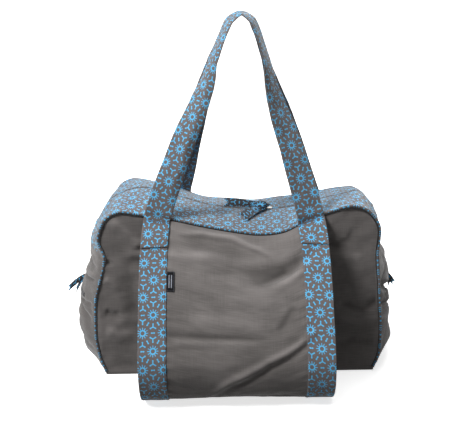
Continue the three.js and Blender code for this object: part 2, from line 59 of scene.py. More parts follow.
# The three seams from the left foot over the top to the right foot: x over half the width and z over
# the gusset's height, in front, in the middle and behind
STATIONS = np.array([
    [-1.009, 0.0, -1.096, 0.0, -1.009, 0.0], [-1.052, 0.103, -1.226, 0.097, -1.043, 0.103],
    [-1.074, 0.224, -1.265, 0.214, -1.061, 0.224], [-1.07, 0.359, -1.239, 0.345, -1.057, 0.359],
    [-1.057, 0.483, -1.217, 0.466, -1.048, 0.483], [-1.017, 0.593, -1.165, 0.569, -1.026, 0.593],
    [-0.983, 0.69, -1.117, 0.672, -1.009, 0.707], [-0.978, 0.745, -1.087, 0.745, -1.0, 0.776],
    [-1.013, 0.828, -1.07, 0.831, -1.0, 0.862], [-1.0, 0.89, -1.043, 0.907, -0.987, 0.938],
    [-0.952, 0.962, -0.978, 0.983, -0.952, 0.99], [-0.857, 1.003, -0.878, 1.031, -0.861, 1.028],
    [-0.717, 0.99, -0.717, 1.059, -0.713, 1.014], [-0.478, 0.959, -0.478, 1.007, -0.457, 0.952],
    [-0.278, 0.921, -0.261, 0.952, -0.27, 0.9], [-0.065, 0.886, -0.065, 0.924, -0.065, 0.886],
    [0.152, 0.862, 0.152, 0.91, 0.13, 0.872], [0.326, 0.879, 0.339, 0.917, 0.326, 0.89],
    [0.478, 0.938, 0.487, 0.938, 0.5, 0.903], [0.63, 0.983, 0.643, 0.972, 0.674, 0.928],
    [0.804, 1.017, 0.8, 1.0, 0.839, 0.948], [0.904, 0.993, 0.904, 1.014, 0.943, 0.948],
    [0.974, 0.934, 0.983, 0.966, 1.026, 0.897], [1.0, 0.883, 1.035, 0.89, 1.061, 0.855],
    [1.0, 0.81, 1.057, 0.786, 1.096, 0.8], [0.991, 0.741, 1.074, 0.69, 1.113, 0.741],
    [0.996, 0.655, 1.104, 0.628, 1.122, 0.655], [1.009, 0.552, 1.148, 0.552, 1.122, 0.552],
    [1.017, 0.455, 1.165, 0.476, 1.117, 0.466], [1.022, 0.397, 1.126, 0.4, 1.113, 0.407],
    [1.03, 0.331, 1.17, 0.328, 1.109, 0.345], [1.035, 0.224, 1.165, 0.224, 1.1, 0.224],
    [1.026, 0.1, 1.17, 0.097, 1.078, 0.1], [0.983, 0.0, 1.07, 0.0, 1.026, 0.0],
])
LEFT_PINCH, RIGHT_PINCH, LEFT_CORNER, RIGHT_CORNER = 7.0, 25.0, 10.4, 22.3
LAST = len(STATIONS) - 1.0

# A handle's leg: how far up, how far out in front and behind, and its twist in degrees
LEGS = np.array([
    [0.03, 0.98, 0.98, 3], [0.126, 0.905, 0.9, 8], [0.264, 0.785, 0.8, 21], [0.384, 0.68, 0.705, 29],
    [0.49, 0.573, 0.615, 39], [0.588, 0.485, 0.53, 50], [0.663, 0.425, 0.46, 62],
    [0.752, 0.37, 0.385, 74], [0.843, 0.29, 0.3, 77], [0.912, 0.22, 0.225, 77], [0.972, 0.135, 0.135, 77],
])


def unit(v):
    return v / np.maximum(np.linalg.norm(v, axis=-1, keepdims=True), 1e-9)


class Spline:
    """A centripetal curve through points. Its parameter counts them."""

    def __init__(self, points):
        p = np.asarray(points, float)
        self.p = np.concatenate([2 * p[:1] - p[1:2], p, 2 * p[-1:] - p[-2:-1]])
        self.last = len(p) - 1

    def at(self, t):
        t = np.clip(np.asarray(t, float), 0, self.last)
        i = np.minimum(t.astype(int), self.last - 1)
        w = (t - i)[(...,) + (None,) * (self.p.ndim - 1)]
        a, b, c, d = (self.p[i + k] for k in range(4))
        d0, d1, d2 = (np.sum((q - r) ** 2, -1, keepdims=True) ** 0.25 for q, r in ((b, a), (c, b), (d, c)))
        s = ((b - a) / d0 - (c - a) / (d0 + d1) + (c - b) / d1) * d1
        e = ((c - b) / d1 - (d - b) / (d1 + d2) + (d - c) / d2) * d1
        return b + s * w + (3 * (c - b) - 2 * s - e) * w**2 + (2 * (b - c) + s + e) * w**3


def seam(column, y):
    z = GUSSET_FOOT + STATIONS[:, column + 1] * (BODY_HEIGHT - GUSSET_FOOT)
    return Spline(np.stack([STATIONS[:, column] * HALF_W, np.full(len(z), y), z], -1))


FRONT, MIDDLE, BACK = seam(0, -HALF_D), seam(2, 0.0), seam(4, HALF_D)


def gusset(station, side):
    """A point of the gusset: station counts along the ring, side runs from -1 in front to 1 behind."""
    s = np.asarray(side, float)[..., None]
    front, middle, back = (c.at(station) for c in (FRONT, MIDDLE, BACK))
    return front * s * (s - 1) / 2 + middle * (1 - s * s) + back * s * (s + 1) / 2


def gusset_normal(station, side):
    low, high = np.maximum(station - 0.02, 0), np.minimum(station + 0.02, LAST)
    along = gusset(high, side) - gusset(low, side)
    return unit(np.cross(along, gusset(station, side + 0.02) - gusset(station, side - 0.02)))


def inset(curve, station, distance):
    """A seam point drawn in from the piping, towards the inside of its panel."""
    along = unit(curve.at(np.minimum(station + 0.01, LAST)) - curve.at(np.maximum(station - 0.01, 0)))
    inwards = np.stack([along[..., 2], along[..., 0] * 0, -along[..., 0]], -1)
    return curve.at(station) + inwards * distance


_TOP = np.linspace(LEFT_CORNER, RIGHT_CORNER, 1500)
_TOP_X = {id(c): c.at(_TOP)[:, 0] for c in (FRONT, MIDDLE, BACK)}
_TOP_Z = {id(c): inset(c, _TOP, PIPING_R + SEAM_GAP)[:, 2] for c in (FRONT, BACK)}


def station_at(curve, x):
    return np.interp(x, _TOP_X[id(curve)], _TOP)


def seam_top(curve, x):
    return np.interp(x, _TOP_X[id(curve)], _TOP_Z[id(curve)])


def bulge(curve, x, z):
    across = np.maximum(0, 1 - (x / HALF_W) ** 2)
    up = np.clip((z - PANEL_FOOT) / (seam_top(curve, x) - PANEL_FOOT), 0, 1)
    return PANEL_BULGE * across * (4 * up * (1 - up)) ** 2


def panel(curve, facing, u, v, edge):
    """A point of a panel: u across from the left, v up from the foot, its edge drawn in from the seam."""
    right_span = RIGHT_CORNER - LAST
    left, right = inset(curve, v * LEFT_CORNER, edge), inset(curve, LAST + v * right_span, edge)
    foot = [inset(curve, np.array(s), edge) for s in (0.0, LAST)]
    corner = [inset(curve, np.array(s), edge) for s in (LEFT_CORNER, RIGHT_CORNER)]
    # The lowest part of both side seams runs straight down to the foot
    first = 1 / 14
    ends = [inset(curve, np.array(s), edge) for s in (first * LEFT_CORNER, LAST + first * right_span)]
    for p, line, end in zip(foot, (left, right), ends):
        p[..., 2] = PANEL_FOOT
        low = PANEL_FOOT + (end[..., 2] - PANEL_FOOT) * v / first
        line[..., 2] = np.where(v < first, low, line[..., 2])
    top = inset(curve, LEFT_CORNER + u * (RIGHT_CORNER - LEFT_CORNER), edge)
    uu, vv = u[..., None], v[..., None]
    low = foot[0] * (1 - uu) + foot[1] * uu
    high = corner[0] * (1 - uu) + corner[1] * uu
    p = low * (1 - vv) + top * vv + left * (1 - uu) + right * uu - (low * (1 - vv) + high * vv)
    p[..., 1] = facing * (HALF_D + bulge(curve, p[..., 0], p[..., 2]))
    return p


SLING_TOP_Y = -(HALF_D + CLOTH / 2 + GAP)
SLING_R = LOOP_R + GAP
LOOP_Y = -HALF_D - SLING_REACH
LOOP_Z = STRAP_CLOTH + LAYER_GAP + SLING_CLOTH + SLING_R
HANG, WRAP, RETURN = 9.0, 9.0, 4.0


def sling_top(x):
    return seam_top(FRONT, FRONT_SHIFT + (x - FRONT_SHIFT) * (1 - SLING_PULL))


def sling_lean(topz):
    """The angle at which the hang runs into the loop."""
    out, drop = SLING_TOP_Y - LOOP_Y, topz - LOOP_Z
    return np.arctan2(out, drop) + np.arcsin(SLING_R / np.hypot(out, drop))


def sling(x, step, offset):
    """A point of the sling, counted in steps down the hang, round its open loop and back to the base."""
    x, step, offset = np.broadcast_arrays(*(np.asarray(a, float) for a in (x, step, offset)))
    down = np.minimum(step / HANG, 1)
    acrossx = FRONT_SHIFT + (x - FRONT_SHIFT) * (1 - SLING_PULL * (1 - down) ** 5)
    topz = sling_top(x)
    angle = sling_lean(topz)
    o = offset + SLING_SLACK * 4 * down * (1 - down)
    my, mz = LOOP_Y - SLING_R * np.cos(angle), LOOP_Z + SLING_R * np.sin(angle)
    hang = np.stack([SLING_TOP_Y + (my - SLING_TOP_Y) * down - o * np.cos(angle),
                     topz + (mz - topz) * down + o * np.sin(angle)], -1)
    turned = angle + (-math.pi / 2 - angle) * np.clip((step - HANG) / WRAP, 0, 1)
    r = SLING_R + offset
    wrap = np.stack([LOOP_Y - r * np.cos(turned), LOOP_Z + r * np.sin(turned)], -1)
    back = np.clip((step - HANG - WRAP) / RETURN, 0, 1)
    under = np.stack([LOOP_Y + (SLING_TOP_Y - LOOP_Y) * back, LOOP_Z - SLING_R - offset], -1)
    s = step[..., None]
    yz = np.where(s <= HANG, hang, np.where(s <= HANG + WRAP, wrap, under))
    return np.concatenate([acrossx[..., None], yz], -1)


def hang_step(x, length):
    return length / np.linalg.norm(sling(x, 0, 0) - sling(x, HANG, 0), axis=-1) * HANG


def hang_step_at(x, z):
    top = sling(x, 0, 0)[..., 2]
    return (top - z) / (top - sling(x, HANG, 0)[..., 2]) * HANG


# Cloth relief

def smooth(t):
    t = np.clip(t, 0, 1)
    return t * t * (3 - 2 * t)


def bell(distance, width):
    return np.exp(-((distance / width) ** 2))


def noise(x, y, seed):
    """Smooth noise over a plane, about -1 to 1, one cell for each unit."""
    i, j = np.floor(x), np.floor(y)
    fx, fy = x - i, y - j
    u, v = (f**3 * (f * (f * 6 - 15) + 10) for f in (fx, fy))

    def corner(a, b):
        turn = (np.sin((i + a) * 127.1 + (j + b) * 311.7 + seed * 74.7) * 43758.5453) % 1.0 * 2 * math.pi
        return np.cos(turn) * (fx - a) + np.sin(turn) * (fy - b)

    low = corner(0, 0) * (1 - u) + corner(1, 0) * u
    return 1.5 * (low * (1 - v) + (corner(0, 1) * (1 - u) + corner(1, 1) * u) * v)


def rumple(x, y, seed, *waves):
    """Soft unevenness: each wave has its length across and along the cloth, and its height."""
    return sum(h * noise(x / a + 17 * k, y / b - 9 * k, seed + k) for k, (a, b, h) in enumerate(waves))


def fold(x, y, points, height, width, steep=1.0, ends=(0.3, 0.3)):
    """A fold along a line: highest on it, and falling off on both sides, steep times quicker on its left."""
    best, signed, along = np.full(x.shape, 1e9), np.zeros(x.shape), np.zeros(x.shape)
    points = np.asarray(points, float)
    lengths = np.hypot(*np.diff(points, axis=0).T)
    before = np.concatenate([[0], np.cumsum(lengths)])
    for k, length in enumerate(lengths):
        (ax, ay), (bx, by) = points[k], points[k + 1]
        dx, dy = (bx - ax) / length, (by - ay) / length
        t = np.clip((x - ax) * dx + (y - ay) * dy, 0, length)
        qx, qy = x - ax - t * dx, y - ay - t * dy
        d = np.hypot(qx, qy)
        nearer = d < best
        best = np.where(nearer, d, best)
        signed = np.where(nearer, np.where(dx * qy - dy * qx > 0, d, -d), signed)
        along = np.where(nearer, before[k] + t, along)
    share = along / before[-1]
    fade = smooth(share / ends[0]) if ends[0] else 1.0
    fade = fade * (smooth((1 - share) / ends[1]) if ends[1] else 1.0)
    return height * fade * bell(signed, np.where(signed > 0, width / steep, width))


# Meshes

def spread(count, edge):
    """Shares from 0 to 1, with closer ones for a rounded edge at both ends."""
    return np.concatenate([[0, edge * 0.35], np.linspace(edge, 1 - edge, count), [1 - edge * 0.35, 1]])


def rounded(rows, columns, thickness, ends=True):
    """A wall's thickness over its grid, thinner at the edges so that they come out round."""
    t = np.full((rows, columns), float(thickness))
    ease = np.array([0.42, 0.85])
    for k in range(2):
        t[:, k] *= ease[k]
        t[:, -1 - k] *= ease[k]
        if ends:
            t[k] *= ease[k]
            t[-1 - k] *= ease[k]
    return t


def add_mesh(name, points, faces, material, uv=None, shade_and_tone=None):
    """A smooth mesh in millimetres, with its cloth coordinates, riding on the bag."""
    mesh = bpy.data.meshes.new(name)
    faces = [np.asarray(f, np.int32) for f in (faces if isinstance(faces, list) else [faces])]
    sizes = np.concatenate([np.full(len(f), f.shape[1], np.int32) for f in faces])
    corners = np.concatenate([f.ravel() for f in faces])
    mesh.vertices.add(len(points))
    mesh.vertices.foreach_set("co", (np.asarray(points, np.float64) / 1000).astype(np.float32).ravel())
    mesh.loops.add(len(corners))
    mesh.loops.foreach_set("vertex_index", corners)
    mesh.polygons.add(len(sizes))
    mesh.polygons.foreach_set("loop_start", np.concatenate([[0], np.cumsum(sizes)[:-1]]).astype(np.int32))
    mesh.polygons.foreach_set("use_smooth", np.ones(len(sizes), bool))
    mesh.update(calc_edges=True)
    if uv is not None:
        layer = mesh.uv_layers.new(name="cloth")
        layer.data.foreach_set("uv", np.asarray(uv, np.float32)[corners].ravel())
    # The per-point attribute carries painted shade and painted light from the folds, and random tone on the
    # base.
    if shade_and_tone is not None:
        mesh.attributes.new("shade_and_tone", "FLOAT", "POINT").data.foreach_set("value", np.asarray(shade_and_tone, np.float32))
    mesh.materials.append(material)
    obj = bpy.data.objects.new(name, mesh)
    bpy.context.scene.collection.objects.link(obj)
    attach(obj, "root")
    return obj


def grid_normals(mid):
    return unit(np.cross(np.gradient(mid, axis=0), np.gradient(mid, axis=1)))


def wall(name, mid, thickness, material, uv, shade_and_tone=None, replaces=(), reverse=None):
    """A closed cloth wall about a grid of middle points; its reverse may have a material of its own."""
    rows, columns = mid.shape[:2]
    n = grid_normals(mid)
    t = np.broadcast_to(thickness, (rows, columns))[..., None]
    points = np.concatenate([(mid + n * t / 2).reshape(-1, 3), (mid - n * t / 2).reshape(-1, 3)])
    at = np.arange(rows * columns).reshape(rows, columns)
    under = at + at.size
    a, b, c, d = at[:-1, :-1], at[1:, :-1], at[1:, 1:], at[:-1, 1:]
    quads = [np.stack(q, -1).reshape(-1, 4) for q in (
        (a, b, c, d), (a + at.size, d + at.size, c + at.size, b + at.size),
        (at[:-1, 0], under[:-1, 0], under[1:, 0], at[1:, 0]),
        (at[:-1, -1], at[1:, -1], under[1:, -1], under[:-1, -1]),
        (at[0, :-1], at[0, 1:], under[0, 1:], under[0, :-1]),
        (at[-1, :-1], under[-1, :-1], under[-1, 1:], at[-1, 1:]))]
    uv = np.broadcast_to(uv, (rows, columns, 2)).reshape(-1, 2)
    shade_and_tone = np.zeros(rows * columns) if shade_and_tone is None else np.broadcast_to(shade_and_tone, (rows, columns)).ravel()
    obj = add_mesh(name, points, np.concatenate(quads), material, np.tile(uv, (2, 1)), np.tile(shade_and_tone, 2))
    if reverse:
        obj.data.materials.append(reverse)
        side = np.zeros(sum(map(len, quads)), int)
        side[len(quads[0]):len(quads[0]) + len(quads[1])] = 1
        obj.data.polygons.foreach_set("material_index", side)
    if replaces:
        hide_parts(*replaces)
    return obj


def arc(mid, axis=0):
    """How far each point of a grid lies along its own line, in millimetres."""
    step = np.linalg.norm(np.diff(mid, axis=axis), axis=-1)
    first = np.zeros_like(np.take(step, [0], axis=axis))
    return np.concatenate([first, np.cumsum(step, axis=axis)], axis=axis)


def resample(places, s, values):
    """Rows of three values, read between those given at s."""
    return np.stack([np.interp(places, s, values[:, k]) for k in range(3)], -1)


def tube(path, side, radius, around):
    """Rings about a path that lies in a plane, whose upright is side, and a cap at both ends."""
    along = unit(np.gradient(path, axis=0))
    side = np.broadcast_to(side, path.shape)
    out = unit(np.cross(along, side))
    turn = np.linspace(0, 2 * math.pi, around, endpoint=False)
    r = np.broadcast_to(radius, (len(path), around))[..., None]
    spokes = np.cos(turn)[None, :, None] * side[:, None] + np.sin(turn)[None, :, None] * out[:, None]
    rings = path[:, None] + r * spokes
    at = np.arange(len(path) * around).reshape(len(path), around)
    nxt = np.roll(at, -1, axis=1)
    quads = np.stack([at[:-1], nxt[:-1], nxt[1:], at[1:]], -1).reshape(-1, 4)
    centres = np.stack([path[0], path[-1]])
    k = at.size
    caps = np.concatenate([np.stack([nxt[0], at[0], np.full(around, k)], -1),
                           np.stack([at[-1], nxt[-1], np.full(around, k + 1)], -1)])
    return np.concatenate([rings.reshape(-1, 3), centres]), [quads, caps]


def stitches(name, lines, length=2.6, pitch=3.7, radius=0.3):
    """Thread along lines: each line has its points and the way out of the cloth there."""
    # A stitch is a short bar of four rings of four points that dips into the cloth at both ends
    ring, quads, at = [], [], 0
    sides = np.array([[1, 0], [0, 1], [-1, 0], [0, -1]], float)
    shares = np.array([-0.5, -0.3, 0.3, 0.5])
    rise = np.array([-0.75, 0.35, 0.35, -0.75])
    girth = np.array([0.35, 1, 1, 0.35])
    base = np.array([[a * 4 + b, a * 4 + (b + 1) % 4, (a + 1) * 4 + (b + 1) % 4, (a + 1) * 4 + b]
                     for a in range(3) for b in range(4)] + [[3, 2, 1, 0], [12, 13, 14, 15]])
    for points, out in lines:
        s = arc(points)
        places = np.arange(pitch / 2, s[-1] - pitch / 2, pitch)
        if len(places) < 1:
            continue
        p, q = resample(places, s, points), resample(places + 0.5, s, points)
        n = unit(resample(places, s, out))
        along = unit(q - p)
        across = unit(np.cross(n, along))
        c = p[:, None] + along[:, None] * (shares * length)[None, :, None]
        c = c + n[:, None] * (rise * radius)[None, :, None]
        spokes = across[:, None, None] * sides[:, :1] + n[:, None, None] * sides[:, 1:]
        body = c[:, :, None] + spokes * (girth * radius)[None, :, None, None]
        ring.append(body.reshape(-1, 3))
        quads.append((base[None] + (at + 16 * np.arange(len(p)))[:, None, None]).reshape(-1, 4))
        at += 16 * len(p)
    return add_mesh(name, np.concatenate(ring), np.concatenate(quads), THREAD)


# Materials

class Look:
    """A material made of nodes, over a cloth's own coordinates in millimetres."""

    def __init__(self, name, **sockets):
        self.material = bpy.data.materials.new(name)
        self.material.use_nodes = True
        self.tree = self.material.node_tree
        self.shader = self.tree.nodes["Principled BSDF"]
        for key, value in sockets.items():
            self.shader.inputs[key.replace("_", " ")].default_value = value

    def node(self, kind, inputs=(), **settings):
        n = self.tree.nodes.new(kind)
        for key, value in settings.items():
            setattr(n, key, value)
        for key, value in (inputs.items() if isinstance(inputs, dict) else enumerate(inputs)):
            if isinstance(value, bpy.types.NodeSocket):
                self.tree.links.new(value, n.inputs[key])
            elif value is not None:
                n.inputs[key].default_value = value
        return n

    def math(self, operation, *inputs):
        return self.node("ShaderNodeMath", inputs, operation=operation).outputs[0]

    def edge(self, value, limit, soft):
        """1 where the value is under the limit, with a soft change to 0."""
        return self.node("ShaderNodeMapRange", [value, limit + soft, limit - soft, 0.0, 1.0]).outputs[0]

    def band(self, value, middle, half, soft):
        """1 where the value is within half of the middle, with a soft change to 0."""
        return self.edge(self.math("ABSOLUTE", self.math("SUBTRACT", value, middle)), half, soft)

    def tones(self, factor, *stops):
        """Colours for a factor from 0 to 1."""
        ramp = self.node("ShaderNodeValToRGB", [factor])
        points = ramp.color_ramp.elements
        while len(points) < len(stops):
            points.new(0.5)
        for point, (place, colour) in zip(points, stops):
            point.position = place
            point.color = colour
        return ramp.outputs[0]

    def noise(self, vector, scale, detail=2.0):
        sockets = {"Vector": vector, "Scale": scale, "Detail": detail}
        return self.node("ShaderNodeTexNoise", sockets).outputs["Fac"]

    def cloth(self):
        """The cloth coordinates, and each of them alone."""
        uv = self.node("ShaderNodeUVMap", uv_map="cloth").outputs[0]
        parts = self.node("ShaderNodeSeparateXYZ", [uv])
        return uv, parts.outputs[0], parts.outputs[1]

    def stretched(self, uv, across, along):
        scale = (1 / across, 1 / along, 1.0)
        return self.node("ShaderNodeMapping", {"Vector": uv, "Scale": scale}).outputs[0]

    def mix(self, factor, a, b):
        n = self.node("ShaderNodeMix", data_type="RGBA")
        for socket, value in zip((n.inputs[0], n.inputs[6], n.inputs[7]), (factor, a, b)):
            if isinstance(value, bpy.types.NodeSocket):
                self.tree.links.new(value, socket)
            else:
                socket.default_value = value
        return n.outputs[2]

    def weave(self, u, v, pitch):
        """The height of a plain weave, 0 to 1."""
        turns = 2 * math.pi / (2 * pitch)
        waves = [self.math("SINE", self.math("MULTIPLY", c, turns)) for c in (u, v)]
        return self.math("MULTIPLY_ADD", self.math("MULTIPLY", *waves), 0.5, 0.5)

    def finish(self, colour, roughness, height, distance):
        link = self.tree.links.new
        link(colour, self.shader.inputs["Base Color"])
        link(roughness, self.shader.inputs["Roughness"])
        bump = self.node("ShaderNodeBump", {"Strength": 1.0, "Distance": distance / 1000, "Height": height})
        link(bump.outputs[0], self.shader.inputs["Normal"])
        return self.material


def srgb(*values):
    """A colour given as screen values from 0 to 255."""
    return (*(((c / 255 + 0.055) / 1.055) ** 2.4 if c > 10 else c / 255 / 12.92 for c in values), 1.0)


# How far apart the print's rosettes stand, in millimetres
MOTIF_PITCH = 32.0


def canvas(name, low, high, pitch=0.9):
    """Grey canvas: a plain weave with slubs, with painted light on its ridges and painted shade in its
    folds.
    """
    look = Look(name, Metallic=0.0, Sheen_Weight=0.35, Sheen_Roughness=0.5, Specular_IOR_Level=0.25)
    uv, u, v = look.cloth()
    weft = look.noise(look.stretched(uv, 26, 1.3), 1.0, 3.0)
    warp = look.noise(look.stretched(uv, 1.1, 34), 1.0, 3.0)
    patches = look.noise(look.stretched(uv, 55, 42), 1.0, 3.0)
    threads = look.math("ADD", look.math("MULTIPLY", weft, 0.55), look.math("MULTIPLY", warp, 0.3))
    threads = look.math("MULTIPLY_ADD", patches, 0.35, threads)
    # Painted shade and painted light: the per-point attribute darkens the cloth in folds and lightens it on
    # ridges; on the base it holds random tone.
    shade_and_tone_fac = look.node("ShaderNodeAttribute", attribute_name="shade_and_tone").outputs["Fac"]
    factor = look.math("MULTIPLY_ADD", shade_and_tone_fac, 0.34, look.math("SUBTRACT", threads, 0.1))
    colour = look.tones(factor, (0.18, srgb(*low)), (0.85, srgb(*high)))
    knit = look.weave(u, v, pitch)
    roughness = look.math("MULTIPLY_ADD", patches, 0.12, 0.84)
    height = look.math("MULTIPLY_ADD", threads, 0.9, knit)
    return look.finish(colour, roughness, height, 0.16)


def printed(name, ground, shade, ink, pale):
    """Printed cotton: rosettes on a six-way net, with dashes and three-armed figures between them."""
    look = Look(name, Metallic=0.0, Sheen_Weight=0.25, Sheen_Roughness=0.5, Specular_IOR_Level=0.3)
    uv, u, v = look.cloth()
    across, along = MOTIF_PITCH, MOTIF_PITCH * math.sqrt(3)
    bleed = look.noise(look.stretched(uv, 1.4, 1.4), 1.0, 2.0)
    shift = look.math("MULTIPLY_ADD", bleed, 0.7, -0.35)
    us, vs = look.math("ADD", u, shift), look.math("SUBTRACT", v, shift)

    def centred(value, size, offset):
        """The distance from the middle of the cell that holds a value."""
        cell = look.math("FRACT", look.math("MULTIPLY_ADD", value, 1 / size, 0.5 + offset))
        return look.math("MULTIPLY", look.math("SUBTRACT", cell, 0.5), size)

    def squared(x, y):
        return look.math("ADD", look.math("MULTIPLY", x, x), look.math("MULTIPLY", y, y))

    ax, ay = centred(us, across, 0.0), centred(vs, along, 0.0)
    bx, by = centred(us, across, 0.5), centred(vs, along, 0.5)
    second = look.math("LESS_THAN", squared(bx, by), squared(ax, ay))
    px = look.math("MULTIPLY_ADD", second, look.math("SUBTRACT", bx, ax), ax)
    py = look.math("MULTIPLY_ADD", second, look.math("SUBTRACT", by, ay), ay)
    radius = look.math("SQRT", squared(px, py))
    turn = look.math("ARCTAN2", py, px)

    def swing(step):
        """The angle from the nearest spoke of a wheel of spokes."""
        part = look.math("FRACT", look.math("MULTIPLY_ADD", turn, 1 / step, 0.5))
        return look.math("ABSOLUTE", look.math("MULTIPLY", look.math("SUBTRACT", part, 0.5), step))

    sixth = swing(math.pi / 3)
    twelfth = swing(math.pi / 6)
    slant = look.math("SUBTRACT", math.pi / 6, sixth)

    def polar(angle):
        return [look.math("MULTIPLY", radius, look.math(part, angle)) for part in ("COSINE", "SINE")]

    def stroke(spoke, middle, half, reach, soft=0.22, end_soft=0.22):
        """A bar that lies along a spoke, about a distance from the wheel's middle."""
        length = look.band(spoke[0], middle, reach, end_soft)
        return look.math("MINIMUM", look.edge(spoke[1], half, soft), length)

    def dot(spoke, middle, size):
        off = squared(look.math("SUBTRACT", spoke[0], middle), spoke[1])
        return look.edge(look.math("SQRT", off), size, 0.22)

    ring = look.band(radius, 4.1, 0.95, 0.2)
    ray = stroke(polar(twelfth), 6.6, 0.58, 2.1, 0.2, 0.25)
    spoke = polar(sixth)
    dash = look.math("MAXIMUM", dot(spoke, 14.1, 1.25), stroke(spoke, 15.6, 0.78, 1.5))
    spoke = polar(slant)
    figure = look.math("MAXIMUM", stroke(spoke, 16.7, 0.82, 2.6), dot(spoke, 13.9, 1.2))
    inked = look.math("MAXIMUM", look.math("MAXIMUM", ring, ray), look.math("MAXIMUM", dash, figure))

    weft = look.noise(look.stretched(uv, 14, 0.9), 1.0, 2.0)
    warp = look.noise(look.stretched(uv, 0.9, 14), 1.0, 2.0)
    patches = look.noise(look.stretched(uv, 48, 48), 1.0, 2.0)
    threads = look.math("ADD", weft, warp)
    threads = look.math("MULTIPLY_ADD", threads, 0.35, look.math("MULTIPLY", patches, 0.3))
    # Painted shade and painted light: the per-point attribute darkens the print in folds and lightens it on
    # ridges.
    shade_and_tone_fac = look.node("ShaderNodeAttribute", attribute_name="shade_and_tone").outputs["Fac"]
    factor = look.math("MULTIPLY_ADD", shade_and_tone_fac, 0.3, threads)
    cloth = look.tones(factor, (0.2, srgb(*shade)), (0.8, srgb(*ground)))
    colour = look.tones(factor, (0.2, srgb(*ink)), (0.8, srgb(*pale)))
    colour = look.mix(inked, cloth, colour)
    knit = look.weave(u, v, 0.5)
    roughness = look.math("MULTIPLY_ADD", inked, -0.12, look.math("MULTIPLY_ADD", patches, 0.1, 0.8))
    height = look.math("MULTIPLY_ADD", threads, 0.8, knit)
    return look.finish(colour, roughness, height, 0.1)


def plain(name, low, high, roughness, bump, scale=400.0, **sockets):
    """Thread, moulded teeth or metal: fine grain over the piece's own place."""
    look = Look(name, **sockets)
    place = look.node("ShaderNodeTexCoord").outputs["Object"]
    grain = look.noise(place, scale, 3.0)
    coarse = look.noise(place, scale / 14, 2.0)
    factor = look.math("MULTIPLY_ADD", coarse, 0.5, look.math("MULTIPLY", grain, 0.5))
    colour = look.tones(factor, (0.25, srgb(*low)), (0.75, srgb(*high)))
    rough = look.math("MULTIPLY_ADD", factor, 0.25, roughness - 0.12)
    return look.finish(colour, rough, grain, bump)


CANVAS = canvas("canvas", (86, 82, 80), (126, 121, 119))
PRINT = printed("print", (112, 105, 105), (78, 73, 73), (56, 160, 216), (104, 202, 246))
# A darker copy of the print, painted shade for the back handle's inner face.
SHADED_PRINT = printed("print_painted_shade", (66, 62, 64), (44, 42, 44), (34, 94, 130), (60, 126, 162))
DARK_PRINT = printed("print_dark", (66, 62, 64), (26, 26, 31), (50, 146, 204), (104, 202, 246))
TEETH = plain("zip_teeth", (24, 24, 27), (46, 46, 50), 0.45, 0.05, Metallic=0.0)
TAPE = canvas("zip_tape", (26, 26, 29), (52, 51, 54), 0.6)
METAL = plain("metal", (176, 175, 170), (222, 221, 216), 0.3, 0.02, 900.0, Metallic=1.0)
THREAD = plain("thread", (66, 61, 59), (100, 94, 91), 0.8, 0.08, 1500.0, Metallic=0.0)
# Near-black cloth for the thin cord in the seam between piping and panel.
DARK_CORD = canvas("dark_cord", (12, 12, 13), (26, 25, 26), 0.6)


# The body's cloth

TOP_EDGE = 1.6


# Folds of the panels: their points, height, width, how much steeper the left flank is, and the soft
# share of both ends
FRONT_FOLDS = (
    ([(-214, 284), (-190, 262), (-160, 233)], 3.2, 11, 1.9, (0.3, 0.1)),
    ([(-150, 222), (-168, 227), (-182, 224)], -3.0, 6, 1.0, (0.0, 0.6)),
    ([(-200, 210), (-180, 204), (-150, 208)], -3.6, 13, 1.4, (0.5, 0.0)),
    ([(-186, 196), (-180, 150), (-177, 100)], -4.2, 15, 1.0, (0.3, 0.2)),
    ([(-226, 214), (-218, 205), (-208, 199)], -3.4, 5, 1.5, (0.2, 0.5)),
    ([(-226, 179), (-214, 168), (-200, 152)], 2.8, 8, 1.4, (0.2, 0.4)),
    ([(-230, 118), (-214, 110), (-198, 116)], -3.4, 8, 1.4, (0.2, 0.4)),
    ([(-230, 86), (-205, 74), (-170, 82)], 2.8, 11, 1.4, (0.2, 0.4)),
    ([(140, 233), (160, 229), (180, 236), (190, 262)], -3.2, 9, 1.5, (0.1, 0.5)),
    ([(148, 212), (180, 208), (212, 202)], 2.8, 12, 1.2, (0.3, 0.3)),
    ([(232, 124), (205, 114), (160, 128)], -4.6, 9, 1.6, (0.0, 0.3)),
    ([(236, 96), (200, 92), (150, 104)], 3.0, 9, 1.3, (0.1, 0.3)),
    ([(228, 52), (190, 58), (150, 44)], -2.8, 10, 1.3, (0.1, 0.3)),
)
BACK_FOLDS = (
    ([(-212, 276), (-170, 250), (-136, 214)], 3.4, 11, 1.7, (0.2, 0.3)),
    ([(250, 268), (200, 232), (150, 218)], -3.6, 10, 1.6, (0.1, 0.4)),
    ([(-90, 250), (-20, 226), (70, 232)], -3.4, 12, 1.4, (0.2, 0.3)),
    ([(-80, 226), (-10, 202), (80, 206)], 3.0, 12, 1.2, (0.3, 0.3)),
    ([(-236, 170), (-200, 158), (-150, 166)], -3.6, 9, 1.4, (0.0, 0.4)),
    ([(250, 150), (214, 136), (160, 148)], -3.8, 9, 1.5, (0.0, 0.4)),
    ([(-238, 84), (-190, 72), (-120, 84), (-60, 76)], 3.0, 10, 1.4, (0.1, 0.4)),
    ([(242, 74), (180, 62), (110, 80)], -3.2, 10, 1.4, (0.1, 0.4)),
    ([(-60, 150), (20, 120), (100, 128)], 2.2, 16, 1.1, (0.3, 0.3)),
)


